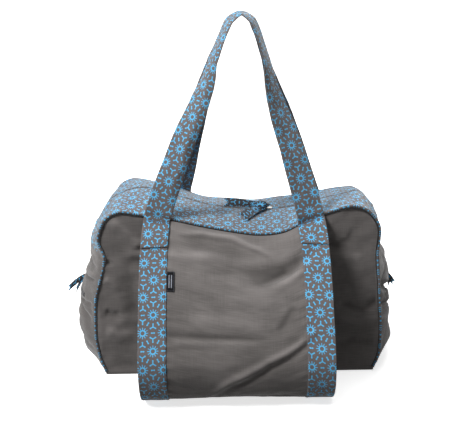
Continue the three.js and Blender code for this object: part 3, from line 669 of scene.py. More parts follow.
def panel_relief(x, z, u, v, facing):
    """How far a panel's cloth stands out of its even form."""
    h = rumple(x, z, 3 if facing < 0 else 31, (75, 60, 2.6), (34, 26, 1.2), (15, 12, 0.35))
    for row in FRONT_FOLDS if facing < 0 else BACK_FOLDS:
        h += fold(x, z, *row)
    sides = np.minimum(u, 1 - u) * 460
    top, foot = (1 - v) * 280, v * 280
    pucker = np.sin(z / 7.5 * 2 * math.pi / 1.6 + 2.2 * noise(z / 21, x / 60, 5)) * np.exp(-sides / 7)
    pucker = pucker + np.sin(x / 8.0 * 2 * math.pi / 1.5 + 2.4 * noise(x / 23, z / 60, 6)) * np.exp(-top / 7)
    held = smooth(sides / 9) * smooth(top / 9) * smooth(foot / 14)
    return h * held + 0.4 * pucker * smooth(sides / 3) * smooth(top / 3) * smooth(foot / 6)


def build_panel(name, node, curve, facing):
    u, v = np.meshgrid(spread(176, 0.004), spread(112, 0.006))
    if facing < 0:
        u, v = u[::-1], v[::-1]
    mid = panel(curve, facing, u, v, TOP_EDGE)
    h = panel_relief(mid[..., 0], mid[..., 2], u, v, facing)
    uv = np.stack([mid[..., 0], mid[..., 2]], -1)
    mid = mid + np.array([0, facing, 0]) * h[..., None]
    # Painted shade and painted light: the cloth is darker in its folds and lighter on its ridges.
    obj = wall(name, mid, rounded(*u.shape, CLOTH), CANVAS, uv, np.clip(h / 5, -1, 1), [node])


build_panel("front_cloth", "front_panel", FRONT, -1)
build_panel("back_cloth", "back_panel", BACK, 1)


def back_relief(x, z):
    span = STATIONS[-1, 4] * HALF_W + STATIONS[0, 4] * -HALF_W
    u = np.clip((x - STATIONS[0, 4] * HALF_W) / span, 0, 1)
    v = np.clip((z - PANEL_FOOT) / (seam_top(BACK, x) - PANEL_FOOT), 0, 1)
    return panel_relief(x, z, u, v, 1)


def ring_length(curve):
    s = np.linspace(0, LAST, 2000)
    return s, arc(curve.at(s))


RING_S, RING_L = ring_length(MIDDLE)


def side_zip_station(low, high):
    """Where the gusset's middle line passes the height of the side pockets' zips."""
    s = np.linspace(low, high, 400)
    z = MIDDLE.at(s)[:, 2]
    turn = 1 if z[0] < z[-1] else -1
    return float(np.interp(SIDE_ZIP_HEIGHT, z[::turn], s[::turn]))


SIDE_ZIP_HEIGHT = 130.0
SIDE_ZIPS = (side_zip_station(3, 6), side_zip_station(27, 29))


# Folds across the gusset: their station, the sides between which they run, height and width
SIDE_FOLDS = (
    (4.72, -1.0, 0.1, -6.0, 0.1), (5.02, -1.0, 0.3, 3.6, 0.2), (5.75, -1.0, 0.5, -2.6, 0.14),
    (3.62, -0.95, -0.3, -4.6, 0.11), (3.9, -0.9, 0.5, 2.4, 0.18), (4.2, 0.0, 1.0, 3.0, 0.22),
    (2.9, -1.0, -0.1, -4.6, 0.13), (2.55, -0.8, 0.9, 3.0, 0.18), (2.1, -0.2, 1.0, -3.6, 0.14),
    (1.5, -1.0, 0.5, -3.4, 0.15), (6.35, -0.3, 1.0, -3.2, 0.14), (3.1, 0.1, 1.0, -3.6, 0.14),
    (5.1, 0.1, 1.0, -3.4, 0.13), (0.9, -0.8, 0.8, 2.6, 0.22), (25.7, -0.9, 0.4, -3.0, 0.13),
    (26.3, -0.4, 1.0, 2.8, 0.2), (27.05, -1.0, 0.1, -3.4, 0.13), (28.0, -0.9, 0.9, 1.4, 0.2),
    (28.86, -1.0, 1.0, -3.0, 0.15), (29.62, -0.9, 0.9, 4.4, 0.2), (30.15, -1.0, 0.6, -5.5, 0.12),
    (30.7, -0.9, 0.6, 2.2, 0.2), (31.4, -0.2, 1.0, -3.4, 0.15), (31.9, -0.9, 0.5, 2.4, 0.2),
)
TOP_FOLDS = (
    (8.6, -0.9, 0.2, 2.0, 0.2), (9.2, -0.3, 0.95, -2.2, 0.2), (10.3, -0.95, 0.1, -1.8, 0.18),
    (11.2, 0.1, 0.95, 2.2, 0.24), (13.1, -0.9, -0.1, -1.6, 0.14), (13.8, 0.1, 0.9, -2.0, 0.16),
    (15.3, -0.9, 0.0, 1.8, 0.22), (17.6, 0.1, 0.95, -1.8, 0.2), (18.6, -0.95, -0.1, 1.8, 0.24),
    (20.6, 0.1, 0.9, -2.4, 0.2), (21.4, -0.9, 0.0, -1.8, 0.16), (22.6, -0.5, 0.9, 2.2, 0.2),
    (23.4, -0.9, 0.4, -2.4, 0.18), (24.1, -0.2, 0.95, 2.0, 0.2),
)
# Two deep creases of the slumped right side, which slant from its front seam down to the back
CREASES = ((28.48, -9.5, 0.3), (29.97, -5.5, 0.18))
CREASE_SLANT = 1.95


def gusset_relief(station, side):
    """How far the gusset's cloth stands out: gathers across it, and folds where the sides sink."""
    run, u = np.interp(station, RING_S, RING_L), side * 100
    h = rumple(u, run, 12, (60, 34, 2.4), (30, 15, 1.2), (14, 8, 0.45))
    top = smooth((station - 7.4) / 1.5) * smooth((24.6 - station) / 1.5)
    h = h * (1 - 0.45 * top)
    for rows, slant, sway, pitch, seed, ends in (
            (SIDE_FOLDS, 0.0, 0.28, 1.6, 40, 0.3), (TOP_FOLDS, 0.35, 0.3, 1.8, 44, 0.35)):
        for at, low, high, height, width in rows:
            line = at + slant * side + sway * noise(side * pitch, side * 0 + at, seed)
            share = np.clip((side - low) / (high - low), 0, 1)
            h += height * bell(station - line, width) * smooth(share / ends) * smooth((1 - share) / ends)
    for at in SIDE_ZIPS:
        h = h * (1 - 0.9 * bell(station - at, 0.2) * smooth((0.8 - np.abs(side)) / 0.2))
    for at, height, width in CREASES:
        crease = bell(station - at - CREASE_SLANT * (side + 0.3), width)
        h = h + height * crease * smooth((0.6 - side) / 0.3) * smooth((side + 1) / 0.25)
    seam = (1 - np.abs(side)) * 100
    corner = 11.5 * bell(station - LEFT_PINCH, 1.15) * smooth((side + 1) / 0.75) * smooth((1 - side) / 1.1)
    zip_flat = 1 - top * bell(u, 9)
    foot = smooth(station / 0.3) * smooth((LAST - station) / 0.3)
    pucker = np.sin(run / 8.2 * 2 * math.pi / 1.4 + 2.6 * noise(run / 25, u / 40, 8))
    pucker = pucker * np.exp(-seam / 8) * 0.55
    return (h * smooth((seam - 1) / 14) * zip_flat + corner + pucker * smooth((seam - 1.6) / 3)) * foot


def gusset_cloth(name, node, low, high, side_low, side_high,
                 rows, columns, material, slot, shade, flat, area):
    """A part of the gusset between two stations and two sides, with painted shade in its folds and painted
    light on its ridges, and darker all over by its painted shade.
    """
    station = low + (high - low) * spread(rows, 0.5 / rows)
    side = side_low + (side_high - side_low) * spread(columns, 0.5 / columns)
    station, side = np.meshgrid(station, side, indexing="ij")
    mid = gusset(station, side)
    h = gusset_relief(station, side)
    uv = np.stack([side * 100, np.interp(station, RING_S, RING_L)], -1)
    mid = mid + gusset_normal(station, side) * h[..., None]
    # Painted shade: darker in the folds and all over by the shade value, lighter on the ridges.
    shade_and_tone = np.clip(h / 4 - shade, -1, 1)
    obj = wall(name, mid, rounded(*station.shape, CLOTH), material, uv, shade_and_tone, [node])


EDGE_SIDE = 1 - TOP_EDGE / HALF_D
SLIT = 0.027
TOP = dict(rows=300, columns=44, material=PRINT, slot="print", shade=0.0, flat=(0.1, 0.66), area=0.061)
# The side gussets carry painted shade that darkens them all over.
SIDE = dict(rows=104, columns=84, material=CANVAS, slot="canvas", shade=0.8, flat=(0.2, 0.24), area=0.048)
gusset_cloth("top_cloth_front", "top_gusset_front", LEFT_PINCH, RIGHT_PINCH, -SLIT, -EDGE_SIDE, **TOP)
gusset_cloth("top_cloth_back", "top_gusset_back", LEFT_PINCH, RIGHT_PINCH, EDGE_SIDE, SLIT, **TOP)
gusset_cloth("side_cloth_left", "side_gusset_left", 0.0, LEFT_PINCH, EDGE_SIDE, -EDGE_SIDE, **SIDE)
gusset_cloth("side_cloth_right", "side_gusset_right", RIGHT_PINCH, LAST, EDGE_SIDE, -EDGE_SIDE, **SIDE)


def build_base():
    u, side = np.meshgrid(spread(150, 0.004), -1.005 + 2.01 * spread(70, 0.008), indexing="ij")
    left, right = (gusset(np.full(side.shape, s), np.clip(side, -1, 1))[..., 0] for s in (0.0, LAST))
    x = left - 1.2 + (right - left + 2.4) * u
    mid = np.stack([x, side * HALF_D, np.full(x.shape, BASE_CLOTH / 2)], -1)
    mid[..., 2] += 0.12 * noise(x / 22, side * 5, 71) * smooth(np.minimum(u, 1 - u) * 20)
    mid[..., 2] = np.maximum(mid[..., 2], BASE_CLOTH / 2)
    uv = np.stack([x, side * 100], -1)
    shade_and_tone = 0.2 * noise(x / 40, side * 3, 72)
    obj = wall("base_cloth", mid, rounded(*x.shape, BASE_CLOTH), CANVAS, uv, shade_and_tone, ["base_panel"])


build_base()


def build_piping(name, node, curve, facing):
    """A cord in its bias-cut cover along a seam, and a thin near-black cord between it and the panel."""
    stations, lengths = ring_length(curve)
    station = np.interp(np.arange(3.4, lengths[-1] - 3.4, 1.5), lengths, stations)
    path = curve.at(station)
    run = arc(path)
    turns, dark_cord_turns = 14, 6
    angle = np.linspace(0, 2 * math.pi, turns, endpoint=False)
    swell = 1 + 0.05 * noise(run[:, None] / 4.2, np.sin(angle)[None] * 1.5, 51)
    swell = swell + 0.04 * noise(run[:, None] / 11, np.cos(angle)[None], 52)
    points, faces = tube(path, np.array([0, 1.0, 0]), PIPING_R * 0.98 * swell, turns)
    around = np.minimum(angle, 2 * math.pi - angle)[None] * PIPING_R + 0 * run[:, None]
    across = around * 0.95 + 0.6 + 1.4 * noise(run[:, None] / 40, 0 * around, 53)
    uv = np.stack([across, run[:, None] * 0.95 + 0 * around], -1).reshape(-1, 2)
    uv = np.concatenate([np.stack([uv[:, 1], uv[:, 0]], -1), [[0, 0], [run[-1], 0]]])
    obj = add_mesh(name, points, faces, PRINT, uv, np.zeros(len(points)))
    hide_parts(node)
    dark_cord = inset(curve, station, 3.0) + np.array([0, facing * 1.1, 0])
    full = smooth((station - 7.6) / 1.2) * smooth((25.2 - station) / 1.2)
    points, faces = tube(dark_cord, np.array([0, 1.0, 0]), (0.7 + 0.95 * full)[:, None], dark_cord_turns)
    uv = np.stack([np.tile(angle[:dark_cord_turns], len(run)), np.repeat(run, dark_cord_turns)], -1)
    uv = np.concatenate([uv, [[0, 0], [0, 0]]])
    obj = add_mesh(name.replace("piping", "dark_cord"), points, faces, DARK_CORD, uv, np.zeros(len(points)))


build_piping("piping_front_cover", "piping_front", FRONT, -1)
build_piping("piping_back_cover", "piping_back", BACK, 1)


# The zip and its pull

def over_gusset(station, side, height):
    """A point over the gusset's outer face, folds and all."""
    station, side = np.broadcast_arrays(np.asarray(station, float), np.asarray(side, float))
    n = gusset_normal(station, side)
    return gusset(station, side) + n * (CLOTH / 2 + height + gusset_relief(station, side))[..., None], n


# Teeth along a zip: how far apart, and how wide, long and high each is
TOOTH_PITCH, TOOTH_SIZE = 2.5, (3.0, 1.5, 1.4)


def tooth_shape():
    """A small tooth, narrower at its tip, with its edges taken off."""
    points, quads = [], []
    for k, (x, w, h) in enumerate(((-0.5, 0.7, 0.6), (-0.3, 1.0, 1.0), (0.2, 1.0, 1.0), (0.5, 0.55, 0.6))):
        points += [[x, w / 2, h / 2], [x, -w / 2, h / 2], [x, -w / 2, -h / 2], [x, w / 2, -h / 2]]
        if k:
            b, a = 4 * k, 4 * k - 4
            quads += [[a + i, a + (i + 1) % 4, b + (i + 1) % 4, b + i] for i in range(4)]
    return np.array(points), np.array(quads + [[3, 2, 1, 0], [12, 13, 14, 15]])


def teeth(name, centre, normal, lift, node):
    """Two rows of teeth that mesh along a zip's middle line, lifted off it."""
    along = unit(np.gradient(centre, axis=0))
    across = np.cross(normal, along)
    centre = centre + normal * lift
    pitch, size = TOOTH_PITCH, TOOTH_SIZE
    shape, quads = tooth_shape()
    s = arc(centre)
    points, faces, at = [], [], 0
    for hand in (-1, 1):
        places = np.arange(pitch * (1 if hand < 0 else 1.5), s[-1] - pitch, pitch)
        c, t, a, n = (resample(places, s, v) for v in (centre, along, across, normal))
        body = c[:, None] + hand * a[:, None] * (shape[:, 0] * -size[0] + size[0] * 0.36)[None, :, None]
        body = body + t[:, None] * (shape[:, 1] * size[1])[None, :, None]
        body = body + n[:, None] * (shape[:, 2] * size[2])[None, :, None]
        points.append(body.reshape(-1, 3))
        turned = quads if hand > 0 else quads[:, ::-1]
        starts = at + len(shape) * np.arange(len(places))
        faces.append((turned[None] + starts[:, None, None]).reshape(-1, 4))
        at += len(shape) * len(places)
    obj = add_mesh(name, np.concatenate(points), np.concatenate(faces), TEETH)
    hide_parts(node)


def build_top_zip():
    first, last = LEFT_PINCH + 0.05, RIGHT_PINCH - 0.05
    station = np.linspace(first, last, 700)
    normal = gusset_normal(station, np.zeros_like(station))
    teeth("zip_chain_teeth", gusset(station, np.zeros_like(station)), normal, 0.1, "zip_chain")
    for word, hand in (("front", -1), ("back", 1)):
        sides = hand * (0.008 + 0.1 * spread(5, 0.1))
        station, side = np.meshgrid(np.linspace(first, last, 340), sides, indexing="ij")
        mid = gusset(station, side) - gusset_normal(station, side) * 1.5
        uv = np.stack([side * 100, np.interp(station, RING_S, RING_L)], -1)
        obj = wall(f"zip_tape_{word}", mid[:, ::-hand] if hand < 0 else mid, 0.7, TAPE, uv, None)


build_top_zip()


def slider(name, node, station, side, height, level):
    """A cast slider: a body that flares at its nose, a bridge over it and an eye for the ribbon."""
    p, n = over_gusset(station, side, height)
    ahead, beside = (0.0, 0.03) if level else (0.03, 0.0)
    along, _ = over_gusset(station + ahead, side + beside, height)
    along = along - over_gusset(station - ahead, side - beside, height)[0]
    along = unit(along - n * np.dot(along, n))
    across = np.cross(n, along)
    basis = np.stack([along, across, n])
    points, quads = [], []

    def loft(sections):
        first = sum(len(q) for q in points)
        count = len(sections[0])
        for k, section in enumerate(sections):
            points.append(p + np.asarray(section) @ basis)
            if k:
                a = first + (k - 1) * count
                for i in range(count):
                    j = (i + 1) % count
                    quads.append([a + i, a + j, a + count + j, a + count + i])
        last = first + (len(sections) - 1) * count
        for base, flip in ((first, True), (last, False)):
            half = count // 2
            for i in range(half - 1):
                q = [base + i, base + i + 1, base + count - 2 - i, base + count - 1 - i]
                quads.append(q[::-1] if flip else q)

    def plate(low, high):
        """The slider's outline at a height, as a rounded block that is wider at its nose."""
        rows = []
        for x, w in ((-5, 2.3), (-4.4, 3.0), (-2.0, 3.1), (1.5, 3.7), (4.2, 3.75), (5, 3.0)):
            edge = 0.35
            near = [(x, w - edge, low), (x, w, low + edge), (x, w, high - edge), (x, w - edge, high)]
            rows.append(near + [(x, -y, z) for x, y, z in near[::-1]])
        return rows

    loft(plate(0.0, 1.5))
    arch = []
    for t in np.linspace(0, math.pi, 13):
        x, z = -3.4 * math.cos(t), 1.4 + 1.5 * math.sin(t) ** 0.8
        nx, nz = math.cos(t), -math.sin(t)
        arch.append([(x + 0.45 * (nx * math.cos(a)), 0.75 * math.sin(a), z + 0.45 * (nz * math.cos(a)))
                     for a in np.linspace(0, 2 * math.pi, 8, endpoint=False)])
    loft(arch)
    obj = add_mesh(name, np.concatenate(points), np.array(quads), METAL)
    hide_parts(node)


SIDE_ZIP_LENGTH, SIDE_ZIP_GAP, SIDE_SLIDER_AT = 118.0, 0.45, 0.35
TOP_SLIDER_X, TOP_RIBBON_LENGTH, RIBBON_THICK = 54.0, 74.0, 0.9
slider("zip_slider_cast", "zip_slider", float(station_at(MIDDLE, TOP_SLIDER_X)), 0.0, 0.3, False)


def ribbon(name, node, places, widths, across, notch):
    """A printed ribbon along a route, its ends cut to swallow tails, with a soft roll across it."""
    places, across = np.asarray(places, float), np.asarray(across, float)
    count = len(places)
    t = np.linspace(0, count - 1, 14 * (count - 1) + 1)
    centre = Spline(places).at(t)
    width = np.interp(t, np.arange(count), widths)
    side = unit(resample(t, np.arange(count), across))
    shares = np.concatenate([[-0.5, -0.485], np.linspace(-0.46, 0.46, 11), [0.485, 0.5]])
    along = unit(np.gradient(centre, axis=0))
    n = unit(np.cross(along, side))
    run = arc(centre)
    pleat = 1 - width / widths[0]
    free = smooth(np.minimum(run, run[-1] - run) / 14)[:, None]
    rise = 0.5 * np.cos(shares * 3 * math.pi)[None] * (0.5 + 3.2 * pleat[:, None]) * free
    mid = centre[:, None] + side[:, None] * (shares[None, :, None] * width[:, None, None])
    mid = mid + n[:, None] * rise[..., None]
    cut = notch * (1 - np.abs(shares) * 2)
    start = smooth(1 - run / 14)[:, None] * cut[None]
    end = smooth(1 - (run[-1] - run) / 14)[:, None] * cut[None]
    mid = mid + along[:, None] * (start - end)[..., None]
    uv = np.stack([shares[None] * widths[0] + 0 * run[:, None], run[:, None] + (start - end)], -1)
    thick = np.full((len(t), len(shares)), RIBBON_THICK)
    thick[:, [0, -1]] *= 0.5
    obj = wall(name, mid, thick, DARK_PRINT, uv, None, [node])


def build_top_pull():
    # Each place: the share of the ribbon's length before the slider, the side, and the height over the top
    route = np.array([[1.02, 0.05, 5.0], [0.7, 0.03, 8.0], [0.38, 0.01, 7.4],
                      [0.02, -0.03, 8.4], [-0.05, -0.06, 7.0], [0.0, -0.09, 6.4],
                      [0.24, -0.22, 7.0], [0.43, -0.42, 7.4], [0.6, -0.64, 5.8]])
    start = TOP_SLIDER_X - 5 - GAP
    station = station_at(MIDDLE, start - route[:, 0] * TOP_RIBBON_LENGTH)
    places, _ = over_gusset(station, route[:, 1], route[:, 2] + RIBBON_THICK)
    across = []
    for i in range(len(places)):
        along = places[min(i + 1, 8)] - places[max(i - 1, 0)]
        along[2] = 0
        if 2 < i < 6:
            along = np.array([0.5, -0.87, 0])
        tilt = (0.75, 0.0, -0.75)[(i > 2) + (i > 5)]
        across.append(unit(np.cross([0, 0, 1.0], unit(along)) + np.array([0, 0, tilt])))
    widths = np.array([18, 17.5, 14, 10.5, 9, 10.5, 14, 17.5, 18.0])
    ribbon("zip_pull_cloth", "zip_pull_ribbon", places, widths, across, 7.0)
    # The knot that gathers both tails just behind the slider
    c = places[2] * 0.35 + places[5] * 0.65
    turn = np.linspace(0, 2 * math.pi, 60)
    axis = unit(np.array([1.0, -0.28, 0.12]))
    b1 = unit(np.cross(axis, [0, 0, 1.0]))
    b2 = np.cross(b1, axis)
    shares = spread(9, 0.06) - 0.5
    r = 0.97 + 0.012 * turn[:, None] + 0.10 * np.cos(3 * turn + 0.6)[:, None]
    r = r + 0.1 * np.cos(shares * 2 * math.pi)[None]
    loop = b1 * (np.cos(turn) * 10.2)[:, None, None] + b2 * (np.sin(turn) * 6.6)[:, None, None]
    mid = c + axis * (shares * 17)[None, :, None] + loop * r[..., None]
    mid = mid + axis * (0.9 * np.sin(2 * turn))[:, None, None]
    uv = np.stack([shares[None] * 13 + 0 * turn[:, None], turn[:, None] * 6 + 0 * shares[None]], -1)
    obj = wall("zip_pull_knot", mid, RIBBON_THICK, DARK_PRINT, uv, None)


build_top_pull()


def side_pocket(word, station, facing, reach_out, drop, width):
    """A zip pocket's mouth across one side: tapes, teeth, slider and ribbon."""
    before, after = np.array(station - 0.01), np.array(station + 0.01)
    speed = min(float(np.linalg.norm(c.at(after) - c.at(before)) / 0.02) for c in (FRONT, MIDDLE, BACK))
    half = ZIP_WIDTH / speed / 2
    reach = SIDE_ZIP_LENGTH / BODY_DEPTH
    side = np.linspace(-reach, reach, 240)
    line, n = over_gusset(np.full(side.shape, station), side, SIDE_ZIP_GAP + 0.7)
    teeth(f"side_teeth_{word}", line, n, 0.0, f"side_zip_{word}")
    for k, hand in (("low", -1), ("high", 1)):
        a, b = np.meshgrid(side, hand * (0.15 + 0.8 * spread(6, 0.08)), indexing="ij")
        mid, _ = over_gusset(station + half * b * 1.6, a, 0.25)
        mid = mid if hand * facing > 0 else mid[:, ::-1]
        obj = wall(f"side_tape_{word}_{k}", mid, 0.6, TAPE, np.stack([b * 4, a * 100], -1), None)
    over = SIDE_ZIP_GAP + ZIP_THICK + GAP
    slider(f"side_slider_cast_{word}", f"side_slider_{word}", station, SIDE_SLIDER_AT, over, True)
    # Each place: out from the side, along it, and down
    route = np.array([[0.75, -0.2, 0.6], [0.48, -0.14, 0.32], [0.16, -0.08, 0.06], [0.0, 0.0, 0.0],
                      [0.14, 0.08, 0.14], [0.36, 0.14, 0.52], [0.5, 0.2, 0.82]])
    root, _ = over_gusset(station, SIDE_SLIDER_AT, over + 3.0 + GAP + RIBBON_THICK / 2)
    at = np.array(SIDE_SLIDER_AT)
    cross = unit(gusset(np.array(station + half), at) - gusset(np.array(station - half), at))
    shift = np.stack([facing * route[:, 0] * reach_out, route[:, 1], -route[:, 2] * drop], -1) * 30.0
    widths = width * np.array([1, 0.98, 0.83, 0.67, 0.83, 0.98, 1])
    ribbon(f"side_ribbon_cloth_{word}", f"side_ribbon_{word}", root + shift, widths,
           np.tile(cross, (7, 1)), 4.0)


side_pocket("left", SIDE_ZIPS[0], -1, 1.55, 1.3, 13.0)
side_pocket("right", SIDE_ZIPS[1], 1, 0.65, 1.0, 9.0)


# The sling, its straps and the label

# Folds of the sling, whose points are x and the run down from its top
SLING_FOLDS = (
    ([(-112, 24), (-60, 14), (-14, 15), (30, 28), (62, 46)], 4.4, 7, 1.9, (0.25, 0.2)),
    ([(-104, 42), (-58, 37), (-16, 35), (30, 50)], -2.2, 12, 1.1, (0.3, 0.3)),
    ([(-118, 61), (-70, 56), (-24, 46)], 3.0, 9, 1.0, (0.1, 0.4)),
    ([(-96, 86), (-33, 77), (14, 70), (66, 68), (88, 63)], -2.4, 11, 1.3, (0.4, 0.3)),
    ([(-8, 90), (40, 80), (80, 70), (118, 52)], -8.6, 15, 1.5, (0.55, 0.0)),
    ([(78, 66), (46, 82), (14, 98)], -3.6, 8, 1.2, (0.1, 0.5)),
    ([(112, 72), (70, 88), (40, 98)], 3.4, 10, 1.0, (0.0, 0.5)),
    ([(-60, 112), (0, 104), (60, 118)], 1.6, 20, 1.0, (0.3, 0.3)),
    ([(-96, 166), (-20, 160), (46, 156)], 2.6, 14, 1.0, (0.3, 0.4)),
    ([(-120, 192), (-34, 181), (56, 174)], -2.6, 4.5, 1.0, (0.02, 0.3)),
    ([(-112, 200), (-34, 189), (40, 183)], 2.0, 7, 1.0, (0.1, 0.4)),
    ([(86, 128), (72, 148), (55, 170)], -2.8, 8, 1.2, (0.2, 0.3)),
    ([(112, 182), (82, 194), (40, 210), (-22, 248), (-75, 312)], 4.2, 5.5, 1.0, (0.0, 0.55)),
    ([(116, 192), (84, 204), (44, 220), (-16, 259), (-62, 318)], -3.2, 5.5, 1.0, (0.0, 0.5)),
    ([(-40, 300), (30, 285), (100, 292)], -2.2, 12, 1.0, (0.3, 0.2)),
    ([(-120, 262), (-90, 270), (-50, 268)], -1.8, 9, 1.0, (0.0, 0.5)),
)


def sling_relief(x, s):
    """How far the sling's cloth stands out, over x and the run down from its top."""
    h = rumple(x, s, 61, (90, 55, 1.6), (42, 18, 1.0), (18, 8, 0.32))
    for row in SLING_FOLDS:
        h += fold(x, s, *row)
    half = (STRAP_SPREAD - STRAP_WIDTH) / 2
    inside = np.minimum(x - (FRONT_SHIFT - half), FRONT_SHIFT + half - x)
    over_strap = smooth((inside + 6) / 16)
    pucker = np.sin(s / 12.0 * 2 * math.pi / 1.3 + 3.0 * noise(s / 30, x / 200, 9))
    pucker = pucker * np.exp(-np.maximum(inside, 0) / 9) * smooth((inside + 3) / 3)
    held = smooth(s / 12) * smooth((330 - s) / 26)
    return (h * (0.25 + 0.75 * over_strap) + 0.6 * pucker) * held


def sling_run(x, step):
    """How far down the sling a step lies."""
    hang = np.linalg.norm(sling(x, HANG, 0) - sling(x, 0, 0), axis=-1)
    turn = sling_lean(sling_top(x)) + math.pi / 2
    run = hang * np.minimum(step / HANG, 1) + SLING_R * turn * np.clip((step - HANG) / WRAP, 0, 1)
    return run + (SLING_TOP_Y - LOOP_Y) * np.clip((step - HANG - WRAP) / RETURN, 0, 1)


def sling_surface(x, step, offset):
    """A point over the sling with its folds, and the way out of it."""
    x, step = np.broadcast_arrays(np.asarray(x, float), np.asarray(step, float))
    down = sling(x, np.minimum(step + 0.05, FULL), offset) - sling(x, np.maximum(step - 0.05, 0), offset)
    n = unit(np.cross(down, sling(x + 0.5, step, offset) - sling(x - 0.5, step, offset)))
    h = sling_relief(x, sling_run(x, step))
    return sling(x, step, offset) + n * h[..., None], n, h


SLING_OFFSET = SLING_CLOTH / 2
STRAP_OFFSET = SLING_CLOTH + 0.1 + STRAP_CLOTH / 2
TAB_OFFSET = SLING_CLOTH + 0.1 + STRAP_CLOTH + 0.1 + HANDLE_CLOTH / 2
FULL = HANG + WRAP + RETURN


def even_steps(x, low, high, spacing):
    """Steps down the sling that lie evenly apart on the cloth."""
    s = np.linspace(low, high, 900)
    run = sling_run(np.full(s.shape, float(x)), s)
    return np.interp(np.linspace(run[0], run[-1], max(4, int((run[-1] - run[0]) / spacing))), run, s)


def build_sling():
    edge = (STRAP_SPREAD + STRAP_WIDTH) / 2
    x = FRONT_SHIFT - edge + 2 * edge * spread(128, 0.003)
    step, x = np.meshgrid(even_steps(0, 0, FULL, 2.4), x, indexing="ij")
    mid, _, h = sling_surface(x, step, SLING_OFFSET)
    run = sling_run(x, step)
    uv = np.stack([x, -run], -1)
    # Painted shade: darker in folds and further down the sling, lighter on ridges.
    shade_and_tone = np.clip(h / 4 - 0.6 * smooth((run - 40) / 130), -1, 1)
    thick = rounded(*x.shape, SLING_CLOTH)
    obj = wall("sling_cloth", mid, thick, CANVAS, uv, shade_and_tone, ["sling_panel"])


build_sling()
SHARES = np.concatenate([[-0.5, -0.485], np.linspace(-0.465, 0.465, 20), [0.485, 0.5]])
SEWN_AT = 0.43  # the share of a strap's width at which its edges are sewn down
LINES = []


def strap_x(facing, side, share):
    shift, spread_ = (FRONT_SHIFT, STRAP_SPREAD) if facing < 0 else (BACK_SHIFT, BACK_SPREAD)
    return shift + side * (spread_ / 2 + share * STRAP_WIDTH)


def strap_thickness(rows, thickness, shares):
    """A strap's edges are turned in and sewn down, so it is thicker there but for the line of thread."""
    off = np.abs(shares)
    t = thickness * (0.92 + 0.2 * smooth((off - 0.36) / 0.05) - 0.3 * bell(off - SEWN_AT, 0.018))
    t[[0, -1]] = thickness * 0.45
    t[[1, -2]] = thickness * 0.85
    return np.tile(t, (rows, 1))


def edge_lines(mid, n, thickness, shares):
    """The two sewn lines along a strap."""
    for share in (-SEWN_AT, SEWN_AT):
        j = int(np.argmin(np.abs(shares - share)))
        k = j + 1 if shares[j] < share else j - 1
        w = abs(share - shares[j]) / abs(shares[k] - shares[j])
        LINES.append((mid[:, j] * (1 - w) + mid[:, k] * w + n[:, j] * thickness / 2, n[:, j]))


def hang_run(side):
    """The run of the straight part of the sling under a strap's middle."""
    return float(sling_run(np.array(strap_x(-1, side, 0.0)), np.array(float(HANG))))


def build_lower_strap(name, node, side, phase):
    shares = np.sort(SHARES * side)
    step, share = np.meshgrid(even_steps(side * 130, 0, FULL, 2.2), shares, indexing="ij")
    x = strap_x(-1, side, share * side)
    mid, n, h = sling_surface(x, step, STRAP_OFFSET)
    mid = mid + n * (0.25 * noise(sling_run(x, step) / 18, share * 3, 81 + side))[..., None]
    down = sling_run(x, step) - sling_run(x, np.full(x.shape, HANG))
    uv = np.stack([share * STRAP_WIDTH + phase[0], phase[1] - down], -1)
    thick = strap_thickness(len(step), STRAP_CLOTH, shares)
    # Painted shade and painted light: the print is darker in folds and lighter on ridges.
    obj = wall(name, mid, thick, PRINT, uv, np.clip(h / 4, -0.6, 0.6), [node])
    edge_lines(mid, n, STRAP_CLOTH, shares)


build_lower_strap("strap_cloth_left", "strap_lower_left", -1, (-1.8, 105.2 - hang_run(-1)))
build_lower_strap("strap_cloth_right", "strap_lower_right", 1, (0.0, 100.0 - hang_run(1)))


def back_surface(x, up, offset):
    """A point over the back panel with its folds, and the way out of it."""
    x, up = np.broadcast_arrays(np.asarray(x, float), np.asarray(up, float))
    z = PANEL_FOOT + (seam_top(BACK, x) - PANEL_FOOT) * up
    slope = bulge(BACK, x, z + 1) + back_relief(x, z + 1) - bulge(BACK, x, z - 1) - back_relief(x, z - 1)
    slope = slope / 2
    n = unit(np.stack([np.zeros_like(x), np.ones_like(x), -slope], -1))
    y = HALF_D + bulge(BACK, x, z) + back_relief(x, z) + CLOTH / 2 + 0.1
    return np.stack([x, y, z], -1) + n * offset, n


def build_back_strap(name, node, side):
    shares = np.sort(SHARES)
    up, share = np.meshgrid(np.linspace(0.01, 1, 112), shares, indexing="ij")
    x = strap_x(1, side, share * side)
    mid, n = back_surface(x, up, STRAP_CLOTH / 2)
    uv = np.stack([share * STRAP_WIDTH, up * 250 + 9], -1)
    thick = strap_thickness(len(up), STRAP_CLOTH, shares)
    obj = wall(name, mid[:, ::-1], thick, PRINT, uv[:, ::-1], None, [node])
    edge_lines(mid, n, STRAP_CLOTH, shares)


build_back_strap("strap_back_cloth_left", "strap_back_left", -1)
build_back_strap("strap_back_cloth_right", "strap_back_right", 1)


def build_label():
    inner = strap_x(-1, -1, -0.5)
    top, bottom = (float(hang_step(np.array(inner), np.array(d))) for d in (88.0, 121.0))
    x = inner + GAP - 1.0 + 13.0 * spread(12, 0.03)
    step, x = np.meshgrid(top + (bottom - top) * spread(22, 0.02), x, indexing="ij")
    mid, n, _ = sling_surface(x, step, SLING_CLOTH + 0.2 + 0.4)
    mid = mid + n * (0.9 * smooth((x - inner) / 12) ** 2)[..., None]
    uv = np.stack([x - inner, (step - top) / (bottom - top) * 33], -1)
    obj = wall("label_cloth", mid, rounded(*x.shape, 0.8), LABEL, uv, None, ["label"])


